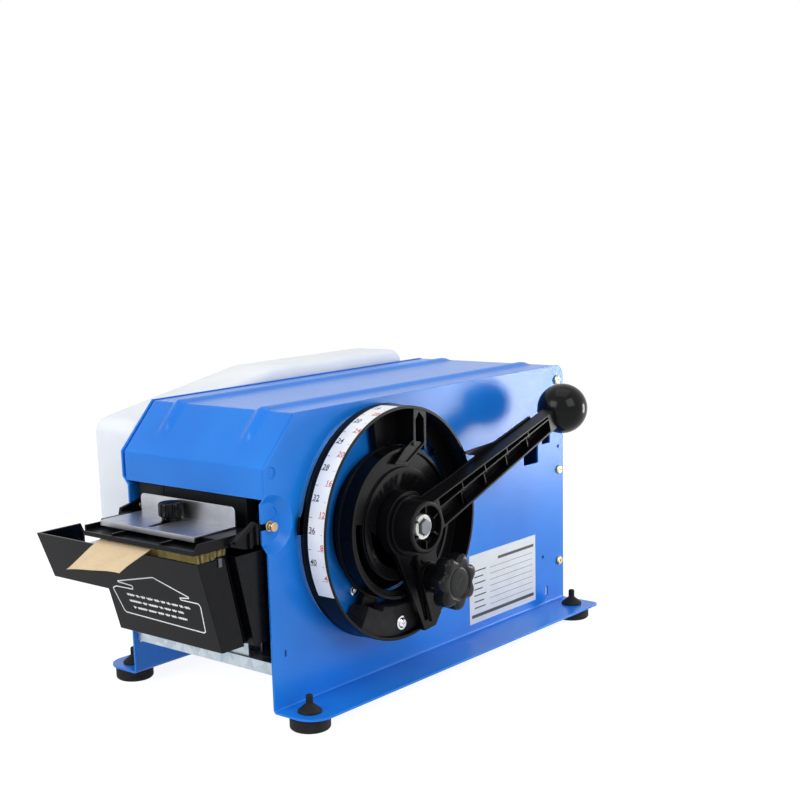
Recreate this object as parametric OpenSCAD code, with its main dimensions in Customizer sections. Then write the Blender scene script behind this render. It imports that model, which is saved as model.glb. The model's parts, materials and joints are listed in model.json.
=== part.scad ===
// Gummed tape dispenser for a packing bench, in millimetres.
// X = 0 is half way between the side plates (+X is the dial side), Y = 0 is the
// plates' front edge (-Y is the front) and Z = 0 is the bench that it stands on.

/* [Body] */
// Width over the outer faces of the side plates
body_w = 165; // [158:1:175]
// Sheet thickness of the side plates
plate_t = 2; // [1.5:0.1:2.5]
// Length of the side plates
plate_l = 404; // [396:1:430]
// Height of the plates' top edge above the bench
plate_top = 240; // [236:1:260]
// Length of the sloped front corner
slope_y = 36; // [25:1:45]
// Height of the sloped front corner
slope_z = 38; // [30:1:42]
// Radius of the top rear corner
rear_corner_r = 12; // [6:1:20]
// Width of the foot flanges, from the plate's outer face
flange_w = 40.5; // [34:0.5:48]
// Inside radius of the fold above the flange
bend_r = 1.5; // [1:0.5:3]
// Top of the base plate above the bench
base_top = 50; // [44:1:52]
// Sheet thickness of the base plate, rear panel and small brackets
sheet_t = 1.5; // [1:0.1:2]
// Length of the rating plate
tag_l = 104.5; // [90:0.5:110]
// Height of the rating plate
tag_h = 63.3; // [55:0.1:68]
// Distance of the rating plate before the plates' rear edge
tag_back = 49; // [44:0.5:56]

/* [Pressed dish] */
// Radius of the dish at the plate's face
dish_r = 22.5; // [20:0.5:23]
// Radius of the dish's floor
dish_floor_r = 16; // [14:0.5:17]
// Depth of the dish
dish_depth = 6; // [4:0.5:7]
// Distance of the dish's centre behind the front edge
dish_y = 5; // [4:0.5:7]
// Height of the dish's centre above the bench
dish_z = 159; // [157:0.5:160]

/* [Top cover] */
// Sheet thickness of the cover
cover_t = 1.5; // [1:0.1:2]
// Gap between the cover and each side plate
cover_gap = 0.6; // [0.4:0.1:1]
// How far the cover's top lies below the plates' edges
cover_drop = 0.8; // [0:0.1:2]
// Length of the front apron below the slope
apron_h = 23.5; // [18:0.5:24]
// Depth of the side skirts
skirt_h = 10; // [8:0.5:14]
// Distance of each bead from the middle
bead_x = 47; // [40:1:55]
// Width of a bead
bead_w = 14; // [8:1:18]
// Height of a bead
bead_h = 3; // [1.5:0.5:4]
// Share of the slope that the beads run down
bead_share = 0.6; // [0.3:0.05:0.8]

/* [Dial] */
// Distance of the main shaft behind the front edge
dial_y = 128; // [124:0.5:132]
// Height of the main shaft above the bench
dial_z = 140; // [138:0.5:142]
// Outer radius of the dial ring
ring_r = 95; // [92:0.5:98]
// Width of the dial ring
ring_w = 24; // [20:0.5:28]
// Wall of the dial ring
ring_t = 2.5; // [2:0.1:3.5]
// Gap between the side plate and the ring
ring_gap = 3; // [2:0.5:4]
// Outer radius of the ring's hub behind the cup
base_r = 56; // [50:0.5:57]
// Radius of the cup's back flange
cup_r = 63; // [60:0.5:64]
// Height of the cup
cup_h = 16; // [14:0.5:18]
// Wall of the cup
cup_t = 3; // [2:0.1:3.5]
// Radius of the bowl inside the cup
bowl_r = 43; // [40:0.5:45]
// Depth of the bowl
bowl_depth = 5; // [3:0.5:6]
// Thickness of the scale band
scale_t = 0.45; // [0.3:0.05:0.6]
// Width of the scale band
scale_w = 16; // [12:0.5:19]
// First angle of the scale band
scale_from = 92; // [90:1:100]
// Last angle of the scale band
scale_to = 206.5; // [200:0.5:225]

/* [Handle] */
// Length of the handle, from the shaft to the ball's centre
arm_l = 221; // [205:1:235]
// Angle of the handle above the level, at rest
arm_angle = 18; // [14:1:22]
// Radius of the ball knob
ball_r = 22.3; // [18:0.1:24]
// Radius of the handle's hub
hub_r = 21; // [18:0.5:22]
// Thickness of the handle's arm
arm_t = 12.5; // [10:0.5:13]
// Half the arm's height beside the hub
arm_root = 14; // [11:0.5:15]
// Half the arm's height at the ball
arm_tip = 8.5; // [6:0.5:10]
// Radius of the main shaft
shaft_r = 8; // [6:0.5:9]
// Reach of the pointer's tip, from the shaft
pointer_l = 89; // [84:0.5:92]

/* [Length stop] */
// Direction of the stop arm, at rest
stop_angle = -72.8; // [-85:1:-60]
// Reach of the stop arm, from the shaft
stop_l = 94; // [88:0.5:100]
// Radius of the stop arm's eye
eye_r = 27; // [24:0.5:28]
// Distance of the star knob from the shaft
star_dist = 54; // [50:0.5:56]
// Angle of the star knob from the stop arm
star_lead = 9; // [4:1:14]
// Radius of the star knob
star_r = 24; // [18:0.5:26]
// Number of the star knob's lobes
star_lobes = 7; // [5:1:9]

/* [Feed] */
// Gear module
gear_module = 2; // [1.9:0.05:2.1]
// Teeth of the drive gear on the main shaft
drive_teeth = 54; // [52:1:55]
// Teeth of the pinion on the feed shaft
pinion_teeth = 14; // [13:1:16]
// Width of the gears
gear_w = 8; // [6:0.5:10]
// Direction of the feed shaft, seen from the main shaft
feed_angle = 136.7; // [136:0.1:138]
// Radius of the feed shaft
feed_shaft_r = 5; // [4:0.5:6]
// Width of the feed wheel
feed_w = 50; // [40:1:56]
// Radius of the pinch roller
pinch_r = 10; // [8:0.5:12]
// Radius of the pinch roller's and cradle rollers' shafts
pin_shaft_r = 3; // [2:0.5:4]

/* [Tape] */
// Width of the tape
tape_w = 60; // [50:1:64]
// Thickness of the tape
tape_t = 0.2; // [0.2:0.05:0.3]
// Height of the tape's underside on its bed
tape_z = 150.1; // [150:0.05:150.4]
// Outer radius of the tape roll
roll_r = 72; // [50:1:75]
// Outer radius of the core
core_r = 18; // [14:1:20]
// Wall of the core
core_t = 2; // [1.5:0.5:4]
// Distance of the roll's centre before the plates' rear edge
roll_back = 114; // [108:1:122]
// Height of the roll's centre above the bench
roll_z = 146.5; // [145:0.5:152]
// Distance of each cradle roller from the roll's centre line
cradle_dy = 45; // [38:1:50]
// Radius of the cradle rollers
cradle_r = 9; // [7:0.5:10]

/* [Blades] */
// Half the width of the shear blade
blade_hw = 40; // [37:0.5:41]
// Thickness of the shear blade
blade_t = 2; // [1.5:0.1:2]
// Height of the shear blade
blade_h = 26; // [22:1:28]
// Height of the shear blade's lower corner above the bench
blade_z = 154; // [153:0.5:156]
// Rise of the slanted edge from one side to the other
blade_slant = 4; // [2:0.5:6]
// Distance of the shear blade behind the front edge
blade_y = 9; // [8.8:0.1:9.2]

/* [Moistening unit] */
// Height of the pressure frame's underside
frame_z = 146.5; // [146.4:0.1:147]
// Height of the pressure frame
frame_h = 8.2; // [7:0.1:9]
// Front end of the pressure frame
frame_y = -63; // [-66:0.5:-61]
// Wall of the pressure frame
frame_t = 2; // [1.5:0.1:2.5]
// Distance of the hinge pins behind the front edge
hinge_y = 8.4; // [7.5:0.1:9]
// Height of the hinge pins
hinge_z = 156.7; // [155:0.1:158]
// Radius of the hinge pins
hinge_pin_r = 2.5; // [2:0.1:3]
// Half the width of the steel plate
press_hw = 54; // [45:1:56]
// Thickness of the steel plate
press_t = 1.5; // [1:0.1:2]
// Length of the steel plate's flat
press_l = 42.5; // [40:0.5:43]
// Height of the steel plate's upright
press_h = 14.7; // [10:0.5:16]
// Radius of the plate's small knob
plate_knob_r = 10; // [8:0.5:11]
// Height of the plate's small knob
plate_knob_h = 14; // [10:0.5:15]

/* [Water tank] */
// Height of the tank's rim
tank_top = 140; // [137:0.5:140.2]
// Height of the tank's underside
tank_z = 68; // [66:0.5:72]
// Wall of the tank
tank_t = 2.5; // [2:0.1:3]
// Front of the rim
tank_y = -61; // [-63:0.5:-60]
// How far the wing's rim stands out from the left side plate
wing_out = 38.5; // [35.5:0.5:39.5]
// Underside of the wing
wing_z = 102.3; // [101:0.5:104]
// Distance of the trough from the left side plate
trough_left = 34.5; // [33.5:0.5:35.5]
// Distance of the trough from the right side plate
trough_right = 9.5; // [7.5:0.5:10.5]
// Distance of the rear chamber from the left side plate
chamber_left = 10.5; // [8.5:0.5:20.5]
// Distance of the rear chamber from the right side plate
chamber_right = 4.5; // [4:0.5:8.5]

/* [Brush] */
// Number of bristle tufts across the brush
bristle_cols = 34; // [28:1:38]
// Number of bristle tufts along the brush
bristle_rows = 12; // [11:1:13]
// Radius of a tuft at its root
bristle_r = 0.55; // [0.4:0.05:0.6]
// Height of the tufts' tips above the bench
bristle_top = 145.5; // [143:0.1:145.6]

/* [Bottle] */
// Thickness of the bottle
bottle_w = 59; // [50:1:66]
// Distance of the bottle's rear end before the plates' rear edge
bottle_back = 29; // [22:1:54]
// Underside of the bottle above the bench
bottle_z = 78; // [70:1:80]
// Height of the bottle's top above the bench
bottle_top = 251; // [248:0.5:262]
// Wall of the bottle
bottle_t = 2; // [1.5:0.1:3]
// Corner radius of the bottle's outline
bottle_r = 14; // [8:1:18]
// Gap between the left side plate and the bottle
bottle_gap = 3.5; // [3:0.5:6]

/* [Feet and screws] */
// Height of a foot's disc, and of the flanges above the bench
foot_h = 11; // [8:0.5:14]
// Radius of a foot's disc
foot_r = 16; // [13:0.5:17]
// Distance of the feet from the plates' outer faces
foot_out = 20.5; // [18:0.5:22]
// Distance of the front feet behind the front edge
foot_front = 17; // [17:0.5:24]
// Distance of the rear feet before the plates' rear edge
foot_back = 18; // [17:0.5:30]
// Radius of the screws' shanks
screw_r = 2; // [1.5:0.1:2.2]
// Radius of the screws' heads
screw_head_r = 4.2; // [3.5:0.1:4.5]

/* [Fits] */
// Radial play of shafts, pins and screws in their bores
fit = 0.05; // [0.03:0.01:0.1]
// Gap between faces that slide on each other
slide_gap = 0.1; // [0.05:0.05:0.2]
// Gap between curved faces that nearly touch
roll_gap = 0.3; // [0.25:0.05:0.4]

/* [Hidden] */
$fn = 48;

eps = 0.01;

// Side plates, from the middle
xo = body_w / 2;
xi = xo - plate_t;
dish_face = xi - dish_depth;
fold_z = plate_top - slope_z;

// Stations along X on the dial side
ring_back = xo + ring_gap;
ring_front = ring_back + ring_w;
dial_u = ring_r / 95;
base_h = 9.5;
cup_seat = xo + base_h;
cup_front = cup_seat + cup_h;
eye_back = cup_front - 4;
eye_front = cup_front + 6.6;
stop_back = ring_front + 0.4;
point_t = 2.5;
point_back = eye_front + 0.4;
point_front = point_back + point_t;
arm_front = point_front + arm_t;
hub_front = arm_front + 4;
hub_floor = hub_front - 7;
star_shank = arm_front - 11.7;
star_back = hub_front - 1;
star_front = star_back + 14;
ball_x = (point_front + arm_front) / 2;
collar_r = 15;

// Feed train
centre_dist = gear_module * (drive_teeth + pinion_teeth) / 2;
feed_y = dial_y + centre_dist * cos(feed_angle);
feed_z = dial_z + centre_dist * sin(feed_angle);
web_top = tape_z + tape_t;
feed_r = feed_z - web_top - roll_gap;
pinch_z = tape_z - roll_gap - pinch_r;
gear_x = xi - 20.5;
bearing_t = 6;
bed_t = 1.2;
bed_top = tape_z - roll_gap;
bed_hw = 40;
bed_y0 = 20.5;
bed_y1 = 150;
bed_leg = [dial_y - shaft_r - 20, dial_y - shaft_r - 5];
tie_r = 4;
tie_y = 28;
tie_z = bed_top - bed_t - tie_r - slide_gap;

// Blades
bar_y0 = blade_y + blade_t + slide_gap;
bar_y1 = bar_y0 + 5;
bar_z0 = 141;
bar_z1 = 149.5;
guide_y0 = blade_y - 1;
guide_top = 190;
guard_t = 2;

// Roll
roll_y = plate_l - roll_back;
cradle_dz = sqrt(pow(roll_r + cradle_r + roll_gap, 2) - pow(cradle_dy, 2));
cradle_z = roll_z - cradle_dz;
cradle_hw = bed_hw;

// Pressure frame
frame_top = frame_z + frame_h;
ear_gap = 0.5;
ear_t = 4;
ear_x1 = dish_face - ear_gap;
frame_x0 = 10.5 - dish_face;
frame_x1 = ear_x1 - ear_t;
press_z = frame_top + slide_gap;
press_y1 = -4;
press_y0 = press_y1 - press_l;
deck_y0 = press_y0 + 7;
knob_x = -6;
knob_y = -16;
knob_shank_r = 2.5;
knob_z = press_z + press_t + slide_gap;

// Water tank
wing_x = -xo - wing_out;
trough_x0 = -xi + trough_left;
trough_x1 = xi - trough_right;
chamber_x0 = -xi + chamber_left;
chamber_x1 = xi - chamber_right;
tank_slope = 20 / 72;
chamber_y1 = 22;
wing_y1 = -17;
spout_z = 120;
spout_r = 6;
spout_x = -xo - 23.5;
spout_y = -35;
wing_low = spout_z - spout_r - 3;
notch_x = spout_x - spout_r - 3;
backing_x = [trough_x0 + 4, trough_x1 - 9];
backing_y = [-46, -28];
backing_z = [108, 116];
slice_t = 2;

// Tape end
strip_x = [backing_x[0], backing_x[0] + tape_w];
strip_t = 0.35;
strip_z = bristle_top + 0.1;
tape_reach = 92;

// Bottle
bottle_y = 20;
bottle_l = plate_l - bottle_y - bottle_back;
bottle_x = -xo - bottle_gap;
shelf_t = 2;
shelf_x = bottle_x - bottle_w - 0.5 - shelf_t;

// Bounding box in X, for the origin
x_hi = max(star_front, ball_x + ball_r);
x_lo = shelf_x;

// The origin lies on the bench, under the middle of the whole machine
module at_origin() {
    translate([-(x_hi + x_lo) / 2, -(plate_l - tape_reach) / 2, 0]) children();
}

// A box given by two opposite corners
module box(a, b) {
    translate(a) cube([b[0] - a[0], b[1] - a[1], b[2] - a[2]]);
}

// A plane figure in (y, z), extruded along X from x
module slab_x(x, t) {
    translate([x, 0, 0]) rotate([90, 0, 90]) linear_extrude(t) children();
}

// A plane figure in (x, z), extruded along Y from y
module slab_y(y, d) {
    translate([0, y + d, 0]) rotate([90, 0, 0]) linear_extrude(d) children();
}

// A plane figure in (x, y), extruded upwards from z
module slab_z(z, h) {
    translate([0, 0, z]) linear_extrude(h) children();
}

// A rod along X
module rod_x(y, z, r, x0, x1) {
    translate([x0, y, z]) rotate([0, 90, 0]) cylinder(r = r, h = x1 - x0);
}

// A rod along Y
module rod_y(x, z, r, y0, y1) {
    translate([x, y1, z]) rotate([90, 0, 0]) cylinder(r = r, h = y1 - y0);
}

// A profile in (radius, x) turned about the axis through (y, z) along X
module turned_x(y, z) {
    translate([0, y, z]) rotate([0, 90, 0]) rotate_extrude($fn = 96) children();
}

// A slot with round ends between two points
module stadium(p, q, r) {
    length = norm(q - p);
    turn = atan2(q[1] - p[1], q[0] - p[0]);
    translate(p) rotate(turn) {
        circle(r);
        translate([length, 0]) circle(r);
        translate([0, -r]) square([length, 2 * r]);
    }
}

// Points of an arc
function arc(c, r, a0, a1, n) =
    [for (i = [0:n]) let (a = a0 + (a1 - a0) * i / n) c + r * [cos(a), sin(a)]];

// A sector of a ring
module sector(r0, r1, a0, a1, n = 12) {
    polygon(concat(arc([0, 0], r1, a0, a1, n), arc([0, 0], r0, a1, a0, n)));
}

// The same points in the opposite order
function reversed(list) = [for (i = [len(list) - 1:-1:0]) list[i]];

// Both sides of the machine
module both_sides() {
    children();
    mirror([1, 0, 0]) children();
}

// ---------------------------------------------------------------- side plates

// The fold and the flange that the feet stand under, in (x, z)
module foot_section() {
    corner = [xo + bend_r, foot_h + plate_t + bend_r];
    outer = bend_r + plate_t;
    difference() {
        translate(corner - [outer, outer]) square(outer);
        translate(corner) circle(bend_r);
        translate(corner - [outer, outer]) difference() {
            square(outer);
            translate([outer, outer]) circle(outer);
        }
    }
    translate([xo + bend_r, foot_h]) square([flange_w - bend_r, plate_t]);
}

// The upright part of a side plate, in (y, z)
module plate_outline() {
    low = foot_h + plate_t + bend_r;
    corner = [plate_l - rear_corner_r, plate_top - rear_corner_r];
    polygon(concat(
        [[0, low], [plate_l, low]],
        arc(corner, rear_corner_r, 0, 90, 8),
        [[slope_y, plate_top], [0, fold_z]]));
}

// Slots and holes in a side plate, in (y, z)
module plate_cuts() {
    step_y = plate_l - 66;
    translate([step_y, dial_z + 12]) square([23, 19]);
    translate([step_y + 30, dial_z + 28]) square([13, 9]);
    translate([plate_l - 9, dial_z + 22.6]) circle(1.5);
    translate([plate_l - 35.5, base_top + 9.4]) circle(1.5);
    stadium([plate_l - 29, foot_h + 10], [plate_l - 29, foot_h + 17], 1.5);
    stadium([slope_y * 0.4, base_top + 4.5], [slope_y * 0.4, base_top + 8], 1);
}

// The places of the screws that hold the rear panel and the cover, in (y, z)
rear_screws = [[plate_l - 8.5, base_top + 1], [plate_l - 8.5, dial_z]];
cover_hinge = [plate_l - 12, plate_top - 14];

// The two shallow round dimples near the front edge
dimple_r = 4.6;
dimple_depth = plate_t * 0.6;

module side_plate() {
    difference() {
        union() {
            slab_x(xi, plate_t) difference() {
                plate_outline();
                translate([dish_y, dish_z]) circle(dish_r);
                plate_cuts();
                for (p = concat(rear_screws, [cover_hinge])) translate(p) circle(screw_r + fit);
                translate([dial_y, dial_z]) circle(11 + fit);
            }
            slab_y(0, plate_l) foot_section();
            intersection() {
                translate([xo, 0, 0]) turned_x(dish_y, dish_z) polygon([
                    [0, -dish_depth - plate_t], [dish_floor_r, -dish_depth - plate_t], [dish_r, -plate_t],
                    [dish_r + 1, -plate_t], [dish_r + 1, 0], [dish_r, 0],
                    [dish_floor_r, -dish_depth], [0, -dish_depth]]);
                box([0, 0, 0], [body_w, 2 * plate_l, plate_top]);
            }
        }
        slab_x(0, xo + 1) {
            stadium([hinge_y - 20, hinge_z], [hinge_y, hinge_z], hinge_pin_r + fit);
        }
        rod_x(dish_y + 7.5, dish_z + 7, dimple_r, xo - dish_depth - dimple_depth, xo + 1);
        rod_x(dimple_r + 2, fold_z - 4, dimple_r, xo - dimple_depth, xo + 1);
        slab_z(foot_h - 1, plate_t + 2) flange_corners();
        for (y = [foot_front, plate_l - foot_back])
            translate([xo + foot_out, y, foot_h - 1]) cylinder(r = 4, h = plate_t + 2);
    }
}

// What is cut off the flange's corners, in (x, y)
module flange_corners() {
    front_r = 18;
    rear_r = 7;
    translate([xo + flange_w - front_r, front_r]) difference() {
        translate([0, -front_r - 1]) square(front_r + 1);
        circle(front_r);
    }
    translate([xo + flange_w - rear_r, plate_l - rear_r]) difference() {
        square(rear_r + 1);
        circle(rear_r);
    }
}

module right_side_plate() color("royalblue") at_origin() side_plate();

module left_side_plate() color("royalblue") at_origin() mirror([1, 0, 0]) side_plate();

// ---------------------------------------------------------- chassis sheet work

module base_plate() color("silver") at_origin() {
    y0 = 4;
    y1 = plate_l - 17;
    box([-xi, y0, base_top - sheet_t], [xi, y1, base_top]);
    box([-xi, y0, base_top - 10], [xi, y0 + sheet_t, base_top - sheet_t]);
    both_sides() box([xi - sheet_t, y0 + sheet_t, base_top - 12], [xi, y1, base_top - sheet_t]);
}

module rear_panel() color("royalblue") at_origin() {
    y1 = plate_l - 2.8;
    z0 = foot_h + 13;
    // the cover's lip swings past the panel's upper edge
    z1 = cover_hinge[1] - norm([cover_y1 - cover_hinge[0], cover_hinge[1] - cover_lip]) - 1;
    box([-xi + 0.2, y1 - sheet_t, z0], [xi - 0.2, y1, z1]);
    both_sides() difference() {
        box([xi - 0.2 - sheet_t, plate_l - 16, z0], [xi - 0.2, y1 - sheet_t, z1]);
        for (p = rear_screws) rod_x(p[0], p[1], screw_r + fit, 0, xo);
    }
}

module front_guard() color("#202124") at_origin() {
    x0 = -frame_x1 + 2 * ear_gap;
    x1 = 55.6;
    z0 = blade_z;
    z1 = 186;
    box([x0, guide_y0 - guard_t, z0], [x1, guide_y0, z1]);
    box([x1 - guard_t, guide_y0, z0], [x1, guide_y0 + 8, z1]);
    for (x = [-40, 20]) box([x, guide_y0 - guard_t - 0.6, z0 + 14], [x + 1.2, guide_y0 - guard_t, z1]);
}

module rubber_feet() color("#1b1b1d") at_origin() {
    neck = foot_h + plate_t;
    for (side = [-1, 1], y = [foot_front, plate_l - foot_back])
        translate([side * (xo + foot_out), y, 0]) rotate_extrude() polygon([
            [0, 0], [foot_r - 1.5, 0], [foot_r, 1.5], [foot_r, foot_h - 1.5], [foot_r - 1.5, foot_h],
            [4 - fit, foot_h], [4 - fit, neck], [9.5, neck], [9.5, neck + 1.5], [2.8, neck + 7],
            [2.8, neck + 13], [2, neck + 14], [0, neck + 14]]);
}

// ------------------------------------------------------------------- dial side

// First and last angle of each spoke
spokes = [[75, 99], [-58, -8], [241, 256]];

module dial_ring() color("#19191b") at_origin() {
    inner = ring_r - ring_t;
    turned_x(dial_y, dial_z) polygon([
        [inner, ring_back], [ring_r + 0.5, ring_back], [ring_r + 0.5, ring_back + 2.5],
        [ring_r, ring_back + 2.5], [ring_r, ring_front], [inner, ring_front]]);
    turned_x(dial_y, dial_z) translate([20, xo]) square([base_r - 20, base_h]);
    translate([0, dial_y, dial_z]) slab_x(ring_back, cup_seat - ring_back)
        for (s = spokes) sector(base_r - 1, inner + 1, s[0], s[1]);
    translate([0, dial_y, dial_z]) slab_x(ring_back, 6) {
        sector(inner - 10, inner + 1, -10, 50);
        rotate(34) translate([inner - 10, 0]) circle(3.5);
    }
    translate([0, dial_y, dial_z]) slab_x(ring_back, 2.5) sector(ring_r, ring_r + 5, 168, 176, 4);
}

module dial_cup() color("#19191b") at_origin() {
    wall_r = cup_r - 1.5;
    land = cup_front - 2;
    floor_r = eye_r;
    bowl = cup_front - bowl_depth;
    difference() {
        turned_x(dial_y, dial_z) difference() {
            polygon([
                [shaft_r + 0.5, cup_seat], [cup_r, cup_seat], [cup_r, cup_seat + cup_t],
                [wall_r, cup_seat + cup_t], [wall_r, cup_front], [wall_r - cup_t, cup_front],
                [wall_r - cup_t, land], [bowl_r + cup_t, land],
                [bowl_r + cup_t, cup_front], [bowl_r, cup_front], [floor_r, bowl], [collar_r, bowl],
                [collar_r, eye_front - 0.2], [shaft_r + 0.5, eye_front - 0.2]]);
            polygon([
                [collar_r + cup_t, cup_seat - 1], [wall_r - cup_t, cup_seat - 1],
                [wall_r - cup_t, land - cup_t],
                [bowl_r, land - cup_t], [floor_r, bowl - cup_t], [collar_r + cup_t, bowl - cup_t]]);
        }
        // the curved slot in the land
        translate([0, dial_y, dial_z]) slab_x(land - cup_t - 1, cup_t + 2)
            sector(bowl_r + cup_t + 0.6, 54.5, 171, 292, 24);
    }
}

module scale_band() color("white") at_origin() {
    translate([0, dial_y, dial_z]) slab_x(ring_front - 0.6 - scale_w, scale_w)
        sector(ring_r + fit, ring_r + scale_t, scale_from, scale_to, 48);
}

module bumper_block() color("#202124") at_origin() {
    inner = ring_r - ring_t - fit;
    translate([0, dial_y, dial_z]) difference() {
        slab_x(ring_back, eye_back + 0.4 - ring_back) difference() {
            intersection() {
                circle(inner);
                union() {
                    sector(72 * dial_u, inner + 4, 237, 252);
                    sector(68 * dial_u, inner + 4, 252, 291);
                }
            }
            sector(0, base_r + 1, 200, 340);
        }
        slab_x(ring_back - 1, cup_seat - ring_back + 1) sector(base_r, inner + 4, 240, 257);
        rod_x(0, -83 * dial_u, screw_r + fit, ring_back - 1, eye_front);
    }
}

module top_bracket() color("#202124") at_origin() translate([0, dial_y, dial_z]) {
    front = cup_front + 2;
    difference() {
        slab_x(cup_seat, front - cup_seat) difference() {
            intersection() {
                circle(ring_r - ring_t - fit);
                polygon(dial_u * [[15.2, 97], [24, 97], [31.2, 87], [30.3, 50], [13.5, 50]]);
            }
            circle(cup_r + 0.3);
        }
        slab_x(cup_seat + 4, cup_h)
            polygon(dial_u * [[17.4, 55], [17.4, 82], [22, 88], [27.8, 82], [27.8, 55]]);
    }
    // the leg that crosses the cup's rim, with a channel down its middle
    difference() {
        slab_x(cup_front + slide_gap, 2 - slide_gap) difference() {
            polygon([[13.5, cup_r + 3], [30, cup_r - 1], [7, 47], [-10.3, 49.8], [4, cup_r - 1.5]]);
            circle(bowl_r + 1);
        }
        slab_x(front - 1.3, 2)
            polygon([[17.4, cup_r + 4], [27.6, cup_r - 1], [6, 49.6], [-5.5, 51.5], [6, cup_r - 2]]);
    }
}

module rating_plate() color("gainsboro") at_origin() {
    y0 = plate_l - tag_back - tag_l;
    z0 = foot_h + plate_t + 7.7;
    box([xo, y0, z0], [xo + 0.4, y0 + tag_l, z0 + tag_h]);
}

module bearing_bushes() color("goldenrod") at_origin() both_sides() turned_x(dial_y, dial_z) polygon([
    [shaft_r + fit, xi - 3], [11, xi - 3], [11, xo], [14, xo], [14, xo + 1.5], [shaft_r + fit, xo + 1.5]]);

// ----------------------------------------------------------------- inside work

module feed_bearings() color("goldenrod") at_origin() both_sides() difference() {
    half = 13;
    box([xi - bearing_t, feed_y - half, feed_z - half], [xi, feed_y + half, feed_z + half]);
    rod_x(feed_y, feed_z, feed_shaft_r + fit, 0, xo);
}

module tie_rod() color("silver") at_origin() rod_x(tie_y, tie_z, tie_r, -xi, xi);

module tape_bed() color("silver") at_origin() {
    difference() {
        box([-bed_hw, bed_y0, bed_top - bed_t], [bed_hw, bed_y1, bed_top]);
        box([-feed_w / 2 - 1, feed_y - 8.5, bed_top - 5], [feed_w / 2 + 1, feed_y + 8.5, bed_top + 1]);
    }
    both_sides() difference() {
        slab_x(bed_hw - sheet_t, sheet_t) {
            translate([chamber_y1 + 1, pinch_z - 12])
                square([bed_leg[1] - chamber_y1 - 1, bed_top - bed_t - pinch_z + 12]);
            translate([bed_leg[0], base_top]) square([bed_leg[1] - bed_leg[0], pinch_z - base_top]);
        }
        rod_x(feed_y, pinch_z, pin_shaft_r + fit, 0, xo);
        rod_x(tie_y, tie_z, tie_r + fit, 0, xo);
    }
    both_sides() box([bed_hw, bed_leg[0], base_top], [bed_hw + 12, bed_leg[1], base_top + sheet_t]);
}

module tape_guides() color("silver") at_origin() both_sides()
    box([tape_w / 2 + 0.6, 25, bed_top], [tape_w / 2 + 3, 65, bed_top + 8]);

module lower_blade() color("silver") at_origin()
    box([-dish_face, bar_y0, bar_z0], [dish_face, bar_y1, bar_z1]);

module blade_guides() color("silver") at_origin() both_sides() difference() {
    box([blade_hw - 4, guide_y0, bar_z1], [blade_hw + 10, bar_y1, guide_top]);
    box([blade_hw - 5, blade_y - slide_gap, bar_z1 - 1], [blade_hw + slide_gap, bar_y0, guide_top + 1]);
}

module roll_cradle() color("silver") at_origin() {
    reach = cradle_dy + cradle_r + 4;
    both_sides() {
        difference() {
            box([cradle_hw - sheet_t, roll_y - reach, base_top], [cradle_hw, roll_y + reach, cradle_z + 14]);
            for (side = [-1, 1]) rod_x(roll_y + side * cradle_dy, cradle_z, pin_shaft_r + fit, 0, xo);
        }
        box([cradle_hw, roll_y - reach, base_top], [cradle_hw + 12, roll_y + reach, base_top + sheet_t]);
    }
}

// The tape from the cutting edge along its bed, and up to the top of the roll
module tape_web() color("burlywood") at_origin() {
    bend_y = bed_y1;
    reach = [roll_y - bend_y, roll_z - tape_z];
    r = roll_r + roll_gap;
    touch = atan2(-reach[1], -reach[0]) - acos((r + tape_t) / norm(reach)) + 360;
    foot = [roll_y + r * cos(touch), roll_z + r * sin(touch)];
    top = [roll_y + (r + tape_t) * cos(touch), roll_z + (r + tape_t) * sin(touch)];
    slab_x(-tape_w / 2, tape_w) polygon([
        [bar_y0 + 0.9, tape_z], [bend_y, tape_z], foot, top,
        [bend_y - 0.1, web_top], [bar_y0 + 0.9, web_top]]);
}

module bottle_shelf() color("royalblue") at_origin() {
    y0 = bottle_y + 10;
    y1 = bottle_y + bottle_l - 10;
    box([shelf_x, y0, bottle_z - shelf_t], [-xo, y1, bottle_z]);
    box([-xo - shelf_t, y0, base_top], [-xo, y1, bottle_z - shelf_t]);
    box([shelf_x, y0, bottle_z], [shelf_x + shelf_t, y1, bottle_z + 12]);
}

module tank_rest() color("silver") at_origin() {
    top = tank_z - slide_gap;
    y0 = 6;
    difference() {
        box([-50, y0, base_top], [50, chamber_y1, top]);
        box([-51, y0 + sheet_t, base_top - 1], [51, chamber_y1 - sheet_t, top - sheet_t]);
    }
}

module hinge_pins() color("gold") at_origin() both_sides() {
    rod_x(hinge_y, hinge_z, hinge_pin_r, frame_x1 - ear_gap, dish_face + plate_t);
    translate([dish_face + plate_t, hinge_y, hinge_z]) {
        rod_x(0, 0, hinge_pin_r + 1.7, 0, 1.2);
        rod_x(0, 0, hinge_pin_r - 0.7, 1, 4);
        rod_x(0, 0, hinge_pin_r + 1.2, 3.8, dish_depth);
    }
}

// A cross-head screw along X with its head's underside at x = 0
module pan_screw(length) {
    head = 2.6;
    difference() {
        rotate([0, 90, 0]) rotate_extrude() polygon([
            [0, 0], [screw_head_r, 0], [screw_head_r, head - 1.2], [screw_head_r - 1.2, head], [0, head]]);
        for (turn = [0, 90]) rotate([turn, 0, 0]) box([head - 1.2, -0.5, -2.2], [head + 1, 0.5, 2.2]);
    }
    rotate([0, 90, 0]) translate([0, 0, -length]) cylinder(r = screw_r, h = length);
}

module side_screws() color("gold") at_origin() both_sides() {
    for (p = concat(rear_screws, [cover_hinge])) translate([xo, p[0], p[1]]) pan_screw(plate_t + 5);
}

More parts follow.
